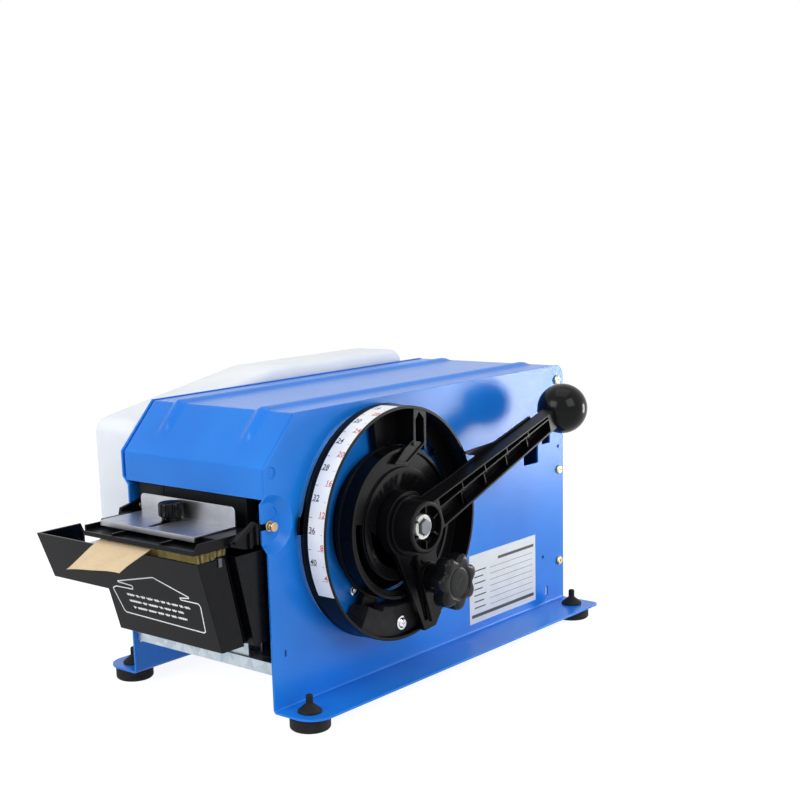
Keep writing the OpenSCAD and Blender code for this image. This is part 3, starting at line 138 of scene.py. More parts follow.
class Recipe:
    """The node tree of one material or of the world."""

    def __init__(self, owner: Any) -> None:
        """Empties the owner's tree.

        Args:
            owner: A material or a world.
        """
        owner.use_nodes = True
        self.tree = owner.node_tree
        self.tree.nodes.clear()

    def node(
        self, kind: str, settings: Mapping[str, Any] | None = None,
        inputs: Mapping[Any, Value] | None = None, outlet: int | str = 0,
    ) -> Socket | None:
        """Adds a node of any kind.

        Args:
            kind: Blender's type name of the node.
            settings: Its properties, set first; "stops" holds the position and grey of a ramp's two stops.
            inputs: Numbers, colours or sockets by the input's name or number.
            outlet: The output that is given back.

        Returns:
            That output, if the node has any.
        """
        made = self.tree.nodes.new(kind)
        for name, value in (settings or {}).items():
            if name == "stops":
                for stop, (position, grey) in zip(made.color_ramp.elements, value):
                    stop.position, stop.color = position, (grey, grey, grey, 1.0)
            else:
                setattr(made, name, value)
        for key, value in (inputs or {}).items():
            if isinstance(value, Socket):
                self.tree.links.new(value.outlet, made.inputs[key])
            else:
                made.inputs[key].default_value = value
        return Socket(self, made.outputs[outlet]) if len(made.outputs) else None

    def spot(self, stretch: Triple = (1.0, 1.0, 1.0), centre: Triple = (0.0, 0.0, 0.0)) -> Socket:
        """Object coordinates.

        Args:
            stretch: Factors along X, Y and Z.
            centre: The machine point in mm that becomes the middle of the pattern.

        Returns:
            The stretched place.
        """
        place = self.node("ShaderNodeTexCoord", outlet="Object")
        shift = -(np.array(centre) + ROW_SHIFT) * MM if any(centre) else np.zeros(3)
        moved = self.node("ShaderNodeVectorMath", {"operation": "ADD"}, {0: place, 1: tuple(shift)})
        return self.node("ShaderNodeVectorMath", {"operation": "MULTIPLY"}, {0: moved, 1: stretch})

    def axis(self, place: Socket, name: str) -> Socket:
        """One number, X, Y or Z, of a place."""
        return self.node("ShaderNodeSeparateXYZ", inputs={0: place}, outlet=name)

    def noise(self, scale: float, detail: float, place: Socket | None = None, rough: float = 0.5) -> Socket:
        """Fractal noise from 0 to 1 with so many cells in a metre, read at a place or on the object."""
        inputs = {"Vector": place or self.spot(), "Scale": scale, "Detail": detail, "Roughness": rough}
        return self.node("ShaderNodeTexNoise", inputs=inputs)

    def levels(self, value: Socket, low: float, high: float, dark: float = 0.0) -> Socket:
        """A grey that rises from dark, where the value is low, to 1, where it is high."""
        return self.node("ShaderNodeValToRGB", {"stops": ((low, dark), (high, 1.0))}, {0: value})

    def patches(
        self, scale: float, detail: float, low: float, high: float,
        place: Socket | None = None, rough: float = 0.5,
    ) -> Socket:
        """Noise sent through levels, which leaves soft patches of 1 on 0."""
        return self.levels(self.noise(scale, detail, place, rough), low, high)

    def blend(self, share: Value, first: Value, second: Value) -> Socket:
        """Two colours mixed by the share of the second."""
        return self.node("ShaderNodeMix", {"data_type": "RGBA"}, {0: share, 6: first, 7: second}, outlet=2)

    def bump(self, height: Socket, depth: float) -> Socket:
        """A normal raised by a height, whose 1 stands for a depth in mm."""
        inputs = {"Strength": 1.0, "Distance": depth * MM, "Height": height}
        return self.node("ShaderNodeBump", inputs=inputs)

    def worn_edges(self, first: float = 0.565, last: float = 0.67) -> Socket:
        """A mask that is 1 on outer edges, broken up by noise: rubbed wear on the blue paint, painted
        highlights with wear on the black mouldings.
        """
        edge = self.node("ShaderNodeNewGeometry", outlet="Pointiness")
        return self.levels(edge, first, last) * self.levels(self.noise(220.0, 3.0), 0.3, 0.62, 0.25)

    def finish(
        self, base: Value, roughness: Value, normal: Socket | None = None, **constants: Value
    ) -> None:
        """Adds the surface shader and the output.

        Args:
            base: Base colour.
            roughness: Roughness.
            normal: The bumped normal, if any.
            constants: Other inputs of the shader, with "_" for a space.
        """
        inputs: dict[Any, Value] = {"Base Color": base, "Roughness": roughness}
        inputs |= {name.replace("_", " "): value for name, value in constants.items()}
        if normal is not None:
            inputs["Normal"] = normal
        shader = self.node("ShaderNodeBsdfPrincipled", inputs=inputs)
        self.node("ShaderNodeOutputMaterial", inputs={"Surface": shader})


# ------------------------------------------------------------------------- finishes


class Slot(Enum):
    """The record's material slots."""

    BLUE = "blue_coat"
    GALVANISED = "galvanised"
    SHEET = "black_sheet"
    MOULDING = "black_moulding"
    GLOSS = "black_gloss"
    RUBBER = "rubber"
    STEEL = "steel"
    GROUND = "ground_steel"
    GEAR = "gear_steel"
    ZINC = "zinc"
    BRASS = "brass"
    CHROME = "chrome"
    SCALE = "scale_print"
    LABEL = "label"
    RING = "white_ring"
    FEED = "feed_rubber"
    KRAFT = "kraft"
    CORE = "core_board"
    BRISTLE = "bristle"
    BOTTLE = "bottle"


def tint(red: float, green: float, blue: float) -> Colour:
    """A linear colour with alpha 1 from display values of 0 to 255."""
    share = np.array([red, green, blue]) / 255.0
    return (*np.where(share <= 0.04045, share / 12.92, ((share + 0.055) / 1.055) ** 2.4).tolist(), 1.0)


@dataclass(frozen=True)
class Finish:
    """A finish of the machine. Its material is made once and shared."""

    name: str
    slot: Slot

    def material(self) -> bpy.types.Material:
        """Makes the material, or finds it if it was made before.

        Returns:
            The material.
        """
        found = bpy.data.materials.get(self.name)
        if found is None:
            found = bpy.data.materials.new(self.name)
            self.paint(Recipe(found))
        return found

    def paint(self, recipe: Recipe) -> None:
        """Fills the material's nodes."""
        raise NotImplementedError


@dataclass(frozen=True)
class PowderCoat(Finish):
    """Stoved gloss paint with its fine orange peel."""

    colour: Colour = tint(28, 130, 230)
    shade: Colour = tint(20, 116, 216)
    rubbed: Colour = tint(110, 165, 240)
    gloss: float = 0.2
    peel: float = 0.15

    def paint(self, recipe: Recipe) -> None:
        """Blue with soft patches and rubbed edges; a peel of two noise sizes in the normal.

        Args:
            recipe: The material's nodes.
        """
        base = recipe.blend(recipe.patches(9.0, 2.0, 0.35, 0.7), self.colour, self.shade)
        base = recipe.blend(recipe.worn_edges(0.62, 0.75) * 0.3, base, self.rubbed)
        peel = recipe.noise(680.0, 1.0) * 0.75 + recipe.noise(1900.0, 1.0) * 0.25
        rough = self.gloss + recipe.noise(60.0, 3.0) * 0.08
        recipe.finish(base, rough, recipe.bump(peel, self.peel), Specular_IOR_Level=0.28)


@dataclass(frozen=True)
class Moulding(Finish):
    """Black moulded plastic with a fine grain and paler edges, partly rubbed wear and partly painted
    highlight.
    """

    colour: Colour = tint(12, 12, 14)
    roughness: float = 0.3
    grain: float = 0.02
    # Share of the paler edge colour, which is partly rubbed wear and partly painted highlight.
    wear: float = 0.6
    smudged: float = 0.3
    shine: float = 0.12
    # Paler edge colour: rubbed wear together with a painted highlight along the rims.
    edge: Colour = tint(96, 98, 104)
    smudge: Colour = tint(24, 25, 28)

    def paint(self, recipe: Recipe) -> None:
        """Near black with smudges of gloss, grain in the normal and paler edges of wear and painted
        highlight.

        Args:
            recipe: The material's nodes.
        """
        smear = recipe.noise(24.0, 4.0, rough=0.6)
        # Paler rims: partly rubbed wear, partly painted highlight.
        edge_wear_and_highlight = recipe.worn_edges() * self.wear
        base = recipe.blend(recipe.levels(smear, 0.4, 0.75) * self.smudged, self.colour, self.smudge)
        base = recipe.blend(edge_wear_and_highlight, base, self.edge)
        rough = self.roughness + (smear - 0.5) * 0.6 * self.smudged + edge_wear_and_highlight * 0.1
        grain = recipe.bump(recipe.noise(1500.0, 2.0), self.grain)
        recipe.finish(base, rough, grain, Specular_IOR_Level=self.shine)


@dataclass(frozen=True)
class Rubber(Finish):
    """Dull black or brown rubber with a fine stipple."""

    colour: Colour = tint(26, 26, 28)
    roughness: float = 0.72
    dust: Colour = tint(70, 70, 72)

    def paint(self, recipe: Recipe) -> None:
        """Dusty patches and a stipple.

        Args:
            recipe: The material's nodes.
        """
        dust = recipe.patches(120.0, 4.0, 0.45, 0.8)
        base = recipe.blend(dust * 0.35, self.colour, self.dust)
        stipple = recipe.bump(recipe.noise(1800.0, 2.0), 0.03)
        recipe.finish(base, self.roughness + dust * 0.12, stipple, Specular_IOR_Level=0.2)


@dataclass(frozen=True)
class Metal(Finish):
    """Bare or plated metal with brushing along one axis and small stains."""

    colour: Colour = tint(196, 199, 205)
    stain: Colour = tint(150, 153, 160)
    roughness: float = 0.3
    brush: Triple = (6.0, 260.0, 260.0)
    brush_depth: float = 0.012

    def paint(self, recipe: Recipe) -> None:
        """Long noise across the brushing makes the lines; broad noise makes the stains.

        Args:
            recipe: The material's nodes.
        """
        lines = recipe.noise(10.0, 3.0, recipe.spot(self.brush), 0.65)
        cloud = recipe.patches(45.0, 4.0, 0.35, 0.75, rough=0.6)
        base = recipe.blend(cloud * 0.5 + lines * 0.3, self.colour, self.stain)
        rough = self.roughness + (lines - 0.5) * 0.16 + cloud * 0.06
        recipe.finish(base, rough, recipe.bump(lines, self.brush_depth), Metallic=1.0)


@dataclass(frozen=True)
class Spangle(Finish):
    """Galvanised sheet with its crystal spangle."""

    cells: float = 150.0
    dull: Colour = tint(168, 184, 196)
    bright: Colour = tint(206, 216, 224)

    def paint(self, recipe: Recipe) -> None:
        """Cells a few millimetres wide, each with its own grey and gloss.

        Args:
            recipe: The material's nodes.
        """
        inputs = {"Vector": recipe.spot(), "Scale": self.cells}
        grey = recipe.axis(recipe.node("ShaderNodeTexVoronoi", {"feature": "F1"}, inputs, "Color"), "X")
        rough = 0.32 + grey * 0.16 + recipe.noise(80.0, 3.0) * 0.08
        relief = recipe.bump(recipe.noise(500.0, 2.0), 0.008)
        recipe.finish(recipe.blend(grey, self.dull, self.bright), rough, relief, Metallic=0.9)


@dataclass(frozen=True)
class YellowZinc(Finish):
    """Yellow passivated zinc plating, with its shift between gold, green and rose."""

    gold: Colour = tint(226, 196, 128)
    green: Colour = tint(206, 206, 160)
    rose: Colour = tint(226, 172, 150)

    def paint(self, recipe: Recipe) -> None:
        """Two broad noises choose the tone.

        Args:
            recipe: The material's nodes.
        """
        first = recipe.patches(420.0, 2.0, 0.35, 0.65)
        second = recipe.patches(260.0, 2.0, 0.4, 0.7, recipe.spot(centre=(40.0, 7.0, 3.0)))
        base = recipe.blend(second * 0.6, recipe.blend(first, self.gold, self.green), self.rose)
        recipe.finish(base, 0.24 + first * 0.1, recipe.bump(recipe.noise(900.0, 2.0), 0.006), Metallic=1.0)


@dataclass(frozen=True)
class PaleFilm(Finish):
    """White printed film or a pale label, slightly soiled."""

    colour: Colour = tint(238, 240, 242)
    soil: Colour = tint(214, 216, 218)
    roughness: float = 0.38

    def paint(self, recipe: Recipe) -> None:
        """Faint clouds and a very shallow waviness.

        Args:
            recipe: The material's nodes.
        """
        cloud = recipe.patches(70.0, 4.0, 0.42, 0.8)
        base = recipe.blend(cloud * 0.5, self.colour, self.soil)
        recipe.finish(base, self.roughness + cloud * 0.08, recipe.bump(recipe.noise(240.0, 2.0), 0.01))


@dataclass(frozen=True)
class Ink(Finish):
    """Printing ink with small gaps in its cover."""

    colour: Colour = tint(30, 30, 34)
    thin: Colour = tint(90, 90, 96)

    def paint(self, recipe: Recipe) -> None:
        """Ink that is thinner in spots."""
        spots = recipe.patches(1600.0, 3.0, 0.5, 0.75)
        recipe.finish(recipe.blend(spots * 0.6, self.colour, self.thin), 0.45 + spots * 0.1)


@dataclass(frozen=True)
class KraftPaper(Finish):
    """Brown kraft paper, board or wood, with fibres, shives and a soft mottle."""

    colour: Colour = tint(226, 204, 168)
    dark: Colour = tint(206, 178, 138)
    roll_centre: Triple | None = None
    layers: float = 9000.0
    bands: float = 1400.0
    shives: Colour = tint(150, 108, 66)
    between_layers: Colour = tint(176, 138, 92)

    def paint(self, recipe: Recipe) -> None:
        """Long fibres across the sheet, mottle, and on a roll's sides the wound layers.

        Args:
            recipe: The material's nodes.
        """
        mottle = recipe.patches(55.0, 5.0, 0.3, 0.72, rough=0.62)
        fibre = recipe.patches(14.0, 4.0, 0.42, 0.66, recipe.spot((14.0, 90.0, 60.0)), 0.7)
        shive = recipe.patches(24.0, 2.0, 0.66, 0.72, recipe.spot((30.0, 120.0, 40.0)), 0.4)
        base = recipe.blend(mottle * 0.5 + fibre * 0.3, self.colour, self.dark)
        base = recipe.blend(shive * 0.35, base, self.shives)
        height = fibre * 0.6 + mottle * 0.4
        if self.roll_centre:
            place = recipe.spot((0.0, 1.0, 1.0), self.roll_centre)
            radius = recipe.node("ShaderNodeVectorMath", {"operation": "LENGTH"}, {0: place}, "Value")
            layer = (radius * self.layers + recipe.noise(60.0, 2.0) * 2.0).sine() * 0.5 + 0.5
            broad = (radius * self.bands).sine() * 0.5 + 0.5
            base = recipe.blend(layer * 0.25 + broad * 0.2, base, self.between_layers)
            height = height * 0.4 + layer * 0.6
        recipe.finish(base, 0.74 + mottle * 0.1, recipe.bump(height, 0.05))


@dataclass(frozen=True)
class Hair(Finish):
    """Pale bristles, darker towards their roots, lower down."""

    tip: Colour = tint(255, 244, 176)
    root: Colour = tint(240, 220, 150)
    low: float = 126.0
    high: float = 145.0

    def paint(self, recipe: Recipe) -> None:
        """Height above the bench chooses the tone; noise parts the hairs.

        Args:
            recipe: The material's nodes.
        """
        share = (recipe.axis(recipe.spot(), "Z") / MM - self.low) / (self.high - self.low)
        part = recipe.noise(260.0, 2.0, recipe.spot((1.0, 1.0, 0.1)), 0.6)
        tone = (share.clamped() * 0.8 + (part - 0.5) * 0.9).clamped()
        recipe.finish(recipe.blend(tone, self.root, self.tip), 0.5, recipe.bump(part, 0.05))


@dataclass(frozen=True)
class Polythene(Finish):
    """Milky blow-moulded polythene."""

    colour: Colour = tint(240, 244, 249)
    shade: Colour = tint(226, 232, 241)
    depth: Triple = (0.012, 0.012, 0.014)

    def paint(self, recipe: Recipe) -> None:
        """Thicker and thinner walls show as soft clouds, with a faint waviness.

        Args:
            recipe: The material's nodes.
        """
        cloud = recipe.patches(11.0, 3.0, 0.35, 0.72)
        wave = recipe.noise(30.0, 2.0) * 0.7 + recipe.noise(400.0, 2.0) * 0.02
        recipe.finish(
            recipe.blend(cloud, self.colour, self.shade), 0.36 + cloud * 0.1, recipe.bump(wave, 0.25),
            Subsurface_Weight=0.35, Subsurface_Radius=self.depth, Subsurface_Scale=1.0,
        )


EVEN = (40.0, 40.0, 40.0)
BLUE = PowderCoat("blue_stoved_paint", Slot.BLUE)
GALVANISED = Spangle("galvanised_spangle", Slot.GALVANISED)
BLACK_SHEET = Moulding("black_painted_sheet", Slot.SHEET, tint(26, 27, 30), 0.4, 0.03, 0.4)
MOULDED = Moulding("black_satin_moulding", Slot.MOULDING)
CUP_BLACK = Moulding("black_polished_cup", Slot.MOULDING, roughness=0.24, grain=0.012)
TANK_BLACK = Moulding("black_tank_moulding", Slot.MOULDING, tint(7, 8, 13), 0.26, 0.01, smudged=0.1)
GLOSS_BLACK = Moulding("black_gloss_knob", Slot.GLOSS, tint(8, 9, 10), 0.17, 0.004, shine=0.15)
# The star knob's 0.7 gives its rims more of the paler edge colour, partly a painted highlight.
STAR_BLACK = Moulding("black_star_knob", Slot.GLOSS, tint(13, 14, 16), 0.27, 0.012, 0.7, shine=0.18)
RUBBER = Rubber("foot_rubber", Slot.RUBBER)
FEED_RUBBER = Rubber("feed_rubber_tyre", Slot.FEED, tint(84, 62, 44), 0.68)
PLATE_STEEL = Metal(
    "brushed_plate_steel", Slot.STEEL, tint(196, 198, 204), tint(150, 153, 160),
    brush=(4.0, 300.0, 300.0), brush_depth=0.006,
)
GROUND_STEEL = Metal("ground_shaft_steel", Slot.GROUND)
DARK_STEEL = Metal("oiled_blade_steel", Slot.GROUND, tint(120, 122, 128), tint(70, 72, 78), 0.38)
GEAR_STEEL = Metal(
    "oiled_gear_steel", Slot.GEAR, tint(128, 126, 122), tint(74, 70, 64), 0.42, (60.0, 60.0, 60.0)
)
CHROME = Metal("chrome_plate", Slot.CHROME, tint(232, 234, 238), tint(190, 192, 198), 0.08, EVEN, 0.003)
CLIP_STEEL = Metal("dull_clip_steel", Slot.CHROME, tint(104, 106, 112), tint(66, 68, 74), 0.4)
BRASS = Metal("turned_brass", Slot.BRASS, tint(232, 206, 164), tint(186, 152, 104), 0.26, EVEN)
ZINC = YellowZinc("yellow_zinc", Slot.ZINC)
SCALE_FILM = PaleFilm("scale_white_film", Slot.SCALE)
LABEL_FILM = PaleFilm("label_silver_film", Slot.LABEL, tint(214, 218, 222), tint(192, 196, 202), 0.42)
WHITE_RING = PaleFilm("white_nylon", Slot.RING, tint(232, 233, 230), tint(196, 196, 190), 0.45)
BLACK_INK = Ink("black_print", Slot.SCALE)
RED_INK = Ink("red_print", Slot.SCALE, tint(196, 44, 62), tint(224, 120, 128))
LABEL_INK = Ink("label_print", Slot.LABEL)
WHITE_INK = Ink("white_tank_print", Slot.MOULDING, tint(238, 240, 242), tint(170, 174, 180))
KRAFT = KraftPaper("kraft_tape", Slot.KRAFT)
KRAFT_ROLL = KraftPaper("kraft_roll", Slot.KRAFT, roll_centre=(0.0, 290.0, 146.5))
CORE_BOARD = KraftPaper("core_board", Slot.CORE, tint(178, 150, 112), tint(150, 120, 84))
WOOD = KraftPaper("brush_back_wood", Slot.BRISTLE, tint(150, 116, 74), tint(104, 76, 44))
HAIR = Hair("brush_hair", Slot.BRISTLE)
POLYTHENE = Polythene("milky_polythene", Slot.BOTTLE)


# --------------------------------------------------------------------------- shapes


@dataclass
class Shape:
    """Points in machine millimetres and the faces between them."""

    points: Array
    faces: list[tuple[int, ...]]

    def turned(self, degrees: float, about: Pair) -> "Shape":
        """The shape turned about an axis along X.

        Args:
            degrees: From +Y towards +Z.
            about: The axis's Y and Z.

        Returns:
            The turned shape.
        """
        c, s = math.cos(math.radians(degrees)), math.sin(math.radians(degrees))
        x, y, z = self.points.T - np.array([[0.0], *([v] for v in about)])
        return Shape(np.stack([x, about[0] + c * y - s * z, about[1] + s * y + c * z], 1), self.faces)

    def moved(self, x: float, y: float, z: float) -> "Shape":
        """The shape moved by a distance along each axis."""
        return Shape(self.points + np.array([x, y, z]), self.faces)


def together(*shapes: Shape) -> Shape:
    """Several shapes as one.

    Args:
        shapes: The shapes.

    Returns:
        One shape with all of their points and faces.
    """
    starts = np.cumsum([0] + [len(shape.points) for shape in shapes]).tolist()
    faces = [tuple(i + start for i in face) for shape, start in zip(shapes, starts) for face in shape.faces]
    return Shape(np.vstack([shape.points for shape in shapes]), faces)


def quads(rows: int, columns: int, around: bool, along: bool = False) -> list[tuple[int, ...]]:
    """Faces of a grid of points.

    Args:
        rows: Rows of points.
        columns: Points in a row.
        around: Whether a row closes on itself.
        along: Whether the last row meets the first.

    Returns:
        Four point numbers a face.
    """
    last = (rows if along else rows - 1, columns if around else columns - 1)
    i, j = np.meshgrid(*map(np.arange, last), indexing="ij")
    i2, j2 = (i + 1) % rows, (j + 1) % columns
    faces = np.stack([i * columns + j, i * columns + j2, i2 * columns + j2, i2 * columns + j], -1)
    return [tuple(face) for face in faces.reshape(-1, 4).tolist()]


def tube(grid: Array) -> Shape:
    """A skin through rings of points, with one flat face at each end.

    Args:
        grid: Rings x points x 3.

    Returns:
        The closed shape.
    """
    rows, columns = grid.shape[:2]
    ends = [tuple(reversed(range(columns))), tuple(range((rows - 1) * columns, rows * columns))]
    return Shape(grid.reshape(-1, 3), quads(rows, columns, True) + ends)


def sheet_between(outer: Array, inner: Array) -> Shape:
    """A closed sheet between two grids of the same size, with a rim all round.

    Args:
        outer: Rows x columns x 3.
        inner: The same points on the sheet's other side.

    Returns:
        The closed shape.
    """
    rows, columns = outer.shape[:2]
    count = rows * columns
    top = quads(rows, columns, False)
    bottom = [tuple(i + count for i in reversed(face)) for face in top]
    number = np.arange(count).reshape(rows, columns)
    rim = np.concatenate([number[0, :-1], number[:-1, -1], number[-1, :0:-1], number[:0:-1, 0]])
    following = np.roll(rim, -1)
    side = np.stack([following, rim, rim + count, following + count], 1)
    points = np.concatenate([outer.reshape(-1, 3), inner.reshape(-1, 3)])
    return Shape(points, top + bottom + [tuple(face) for face in side.tolist()])


def circle(steps: int) -> Array:
    """Angles of evenly spaced points round a circle."""
    return np.linspace(0.0, 2.0 * math.pi, steps, endpoint=False)


def lathe(profile: Array | Sequence[Pair], steps: int, lobes: Array | float = 0.0) -> Shape:
    """A profile turned about the X axis: a point (r, x) becomes the ring y = r cos a, z = r sin a.

    Args:
        profile: Radius and X of each ring, from one end to the other.
        steps: Points in a ring.
        lobes: Extra radius of every ring and point, if the outline isn't round.

    Returns:
        The shape, closed by a small flat face at each end.
    """
    rings = np.array(profile, float)
    angle = circle(steps)
    x, radius = np.broadcast_arrays(rings[:, 1:], rings[:, :1] + lobes + np.zeros(steps))
    return tube(np.stack([x, radius * np.cos(angle), radius * np.sin(angle)], -1))


def prism(outline: Array | Sequence[Pair], low: float, high: float) -> Shape:
    """A flat outline in Y and Z, drawn out from one X to another."""
    return tube(np.stack([np.column_stack([np.full(len(outline), x), outline]) for x in (low, high)]))


def unit(vectors: Array) -> Array:
    """Vectors brought to a length of 1."""
    return vectors / np.linalg.norm(vectors, axis=-1, keepdims=True)


def left_of(vectors: Array) -> Array:
    """Plane vectors turned a quarter to the left."""
    return np.stack([-vectors[..., 1], vectors[..., 0]], -1)


def way_along(path: Array) -> Array:
    """The length of a path up to each of its points."""
    return np.concatenate([[0.0], np.cumsum(np.linalg.norm(np.diff(path, axis=0), axis=1))])


def rounded_path(corners: Array | Sequence[Sequence[float]], radii: Sequence[float], step: float) -> Array:
    """A plane path whose corners are replaced by arcs.

    Each arc touches both of its legs: it starts and ends at r / tan(half the corner's angle) from the
    corner.

    Args:
        corners: The path's corners; the first and the last are its ends.
        radii: Radius at each inner corner.
        step: Degrees between the arc's points.

    Returns:
        The points, n x 2.
    """
    corner = np.array(corners, float)
    points = [corner[:1]]
    for before, here, after, r in zip(corner[:-2], corner[1:-1], corner[2:], radii):
        u, v = unit(before - here), unit(after - here)
        half = math.acos(float(np.clip(u @ v, -1, 1))) / 2
        centre = here + unit(u + v) * r / math.sin(half)
        start, end = here + u * r / math.tan(half) - centre, here + v * r / math.tan(half) - centre
        first = math.atan2(start[1], start[0])
        sweep = (math.atan2(end[1], end[0]) - first + math.pi) % (2 * math.pi) - math.pi
        angle = first + np.linspace(0, 1, max(3, int(abs(math.degrees(sweep)) / step) + 2)) * sweep
        points.append(centre + r * np.stack([np.cos(angle), np.sin(angle)], 1))
    return np.concatenate([*points, corner[-1:]])


def refined(path: Array, gap: float) -> Array:
    """The same path with points no further apart than the gap.

    Args:
        path: Points, n x 2.
        gap: The widest gap.

    Returns:
        The points with new ones between them.
    """
    parts = []
    for start, end in zip(path[:-1], path[1:]):
        count = max(1, math.ceil(np.linalg.norm(end - start) / gap))
        parts.append(np.linspace(start, end, count, endpoint=False))
    return np.concatenate([*parts, path[-1:]])


def ease(value: Array) -> Array:
    """Smooth step from 0 to 1."""
    t = np.clip(value, 0.0, 1.0)
    return t * t * (3.0 - 2.0 * t)


# --------------------------------------------------------------------------- workshop


def placed(name: str, data: bpy.types.ID) -> bpy.types.Object:
    """Puts a new object into the scene.

    Args:
        name: Its name.
        data: Its mesh, curve, lamp or camera.

    Returns:
        The object.
    """
    made = bpy.data.objects.new(name, data)
    bpy.context.scene.collection.objects.link(made)
    return made


def final_mesh(holder: bpy.types.Object) -> bpy.types.Mesh:
    """Makes a mesh of an object with its modifiers, and removes the object.

    Args:
        holder: The object.

    Returns:
        The mesh.
    """
    graph = bpy.context.evaluated_depsgraph_get()
    shown = holder.evaluated_get(graph)
    mesh = bpy.data.meshes.new_from_object(shown, preserve_all_data_layers=True, depsgraph=graph)
    bpy.data.objects.remove(holder)
    return mesh


@dataclass
class Workshop:
    """Turns shapes and CAD nodes into finished pieces that ride on their bodies. Lengths are in metres."""

    nodes: Mapping[str, bpy.types.Object]
    shape_merge: float = 1e-7
    node_merge: float = 2e-6
    flat_turn: float = math.radians(0.4)
    sharp_turn: float = math.radians(32.0)

    def hang(self, name: str, mesh: bpy.types.Mesh, finish: Finish, body: str, *replaces: str) -> None:
        """Makes a piece of a mesh.

        Args:
            name: Name of the piece.
            mesh: Its mesh, in the row frame.
            finish: Its finish.
            body: The body that it rides on.
            replaces: The CAD nodes that it stands for.
        """
        piece = placed(name, mesh)
        mesh.materials.clear()
        mesh.materials.append(finish.material())
        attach(piece, body)
        if replaces:
            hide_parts(*replaces)
        LOG.info("%s rides on %s, %d faces", name, body, len(mesh.polygons))

    def fit(
        self, name: str, shape: Shape, finish: Finish, body: str, smooth: float, *replaces: str
    ) -> None:
        """Makes a piece of a closed shape.

        Args:
            name: Name of the piece.
            shape: The shape in machine millimetres.
            finish: Its finish.
            body: The body that it rides on.
            smooth: Edges sharper than this many degrees stay sharp.
            replaces: The CAD nodes that it stands for.
        """
        mesh = bpy.data.meshes.new(name)
        mesh.from_pydata(((shape.points + ROW_SHIFT) * MM).tolist(), [], shape.faces)
        work = bmesh.new()
        work.from_mesh(mesh)
        bmesh.ops.remove_doubles(work, verts=work.verts, dist=self.shape_merge)
        bmesh.ops.recalc_face_normals(work, faces=work.faces)
        work.to_mesh(mesh)
        work.free()
        mesh.shade_smooth()
        mesh.set_sharp_from_angle(angle=math.radians(smooth))
        mesh.update()
        self.hang(name, mesh, finish, body, *replaces)

    def soften(self, node: str, finish: Finish, width: float, segments: int = 2) -> None:
        """Makes a piece of a merged copy of a CAD node, with its sharp edges rounded.

        Args:
            node: The CAD node.
            finish: Its finish.
            width: Width of the rounding in mm.
            segments: Steps of the rounding.
        """
        source = self.nodes[node]
        mesh = source.data.copy()
        work = bmesh.new()
        work.from_mesh(mesh)
        bmesh.ops.remove_doubles(work, verts=work.verts, dist=self.node_merge)
        bmesh.ops.dissolve_limit(work, angle_limit=self.flat_turn, verts=work.verts, edges=work.edges)
        work.to_mesh(mesh)
        work.free()
        for name in ("custom_normal", "sharp_edge", "sharp_face"):
            if name in mesh.attributes:
                mesh.attributes.remove(mesh.attributes[name])
        mesh.shade_smooth()
        shaper = placed(node + "_shaper", mesh)
        bevel = shaper.modifiers.new("rounding", "BEVEL")
        bevel.width, bevel.segments = width * MM, segments
        bevel.limit_method, bevel.angle_limit = "ANGLE", self.sharp_turn
        bevel.use_clamp_overlap, bevel.miter_outer = False, "MITER_ARC"
        shaper.modifiers.new("flats", "WEIGHTED_NORMAL").weight = 60
        cut = shaper.modifiers.new("triangles", "TRIANGULATE")
        cut.ngon_method, cut.min_vertices, cut.keep_custom_normals = "BEAUTY", 5, True
        final = final_mesh(shaper)
        final.name = node + "_finished"
        self.hang(node + "_finished", final, finish, source["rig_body"], node)

    def soften_each(self, *rows: tuple[Any, ...]) -> None:
        """Rounds the edges of several CAD nodes, each given as soften takes it."""
        for row in rows:
            self.soften(*row)


# ----------------------------------------------------------------------- the machine


@dataclass
class Chassis:
    """Side plates, folded sheet work, feet and fasteners."""

    label_low: Pair = (250.5, 20.7)
    label_size: Pair = (104.5, 63.3)
    label_back: float = 82.895
    label_front: float = 82.94
    fields: tuple[float, ...] = (0.16, 0.14, 0.17, 0.12, 0.16, 0.13, 0.17)

    def build(self, shop: Workshop) -> None:
        """Finishes every chassis node and prints the label."""
        shop.soften_each(
            ("right_side_plate", BLUE, 0.45), ("left_side_plate", BLUE, 0.45), ("rear_panel", BLUE, 0.4),
            ("bottle_shelf", BLUE, 0.4), ("base_plate", GALVANISED, 0.35), ("tank_rest", GALVANISED, 0.3),
            ("tape_bed", GALVANISED, 0.2), ("tape_guides", GALVANISED, 0.4), ("roll_cradle", GALVANISED, 0.3),
            ("front_guard", BLACK_SHEET, 0.35), ("rubber_feet", RUBBER, 0.6), ("bearing_bushes", BRASS, 0.3),
            ("feed_bearings", BRASS, 0.5), ("tie_rod", GROUND_STEEL, 0.4), ("lower_blade", DARK_STEEL, 0.25),
            ("blade_guides", DARK_STEEL, 0.35), ("hinge_pins", BRASS, 0.4), ("side_screws", ZINC, 0.22),
            ("rating_plate", LABEL_FILM, 0.08),
        )
        shop.fit("label_print", self.label_print(), LABEL_INK, "chassis", 10.0)

    def label_print(self) -> Shape:
        """Two black bars and thin ruled lines with blank fields, each from one corner to another.

        The corners are shares of the label's width and height.

        Returns:
            Closed slabs on the label.
        """
        rows = np.linspace(0.2, 0.74, 7)
        strokes = [(0.42, 0.83, 0.97, 0.872), (0.03, 0.08, 0.97, 0.128)]
        strokes += [(0.3, s, 0.95, s + 0.006) for s in rows]
        strokes += [(0.07, s + 0.01, 0.07 + length, s + 0.028) for s, length in zip(rows, self.fields)]
        corners = [np.array([[a, b], [c, b], [c, d], [a, d]]) for a, b, c, d in strokes]
        places = [np.array(self.label_low) + corner * self.label_size for corner in corners]
        return together(*(prism(place, self.label_back, self.label_front) for place in places))


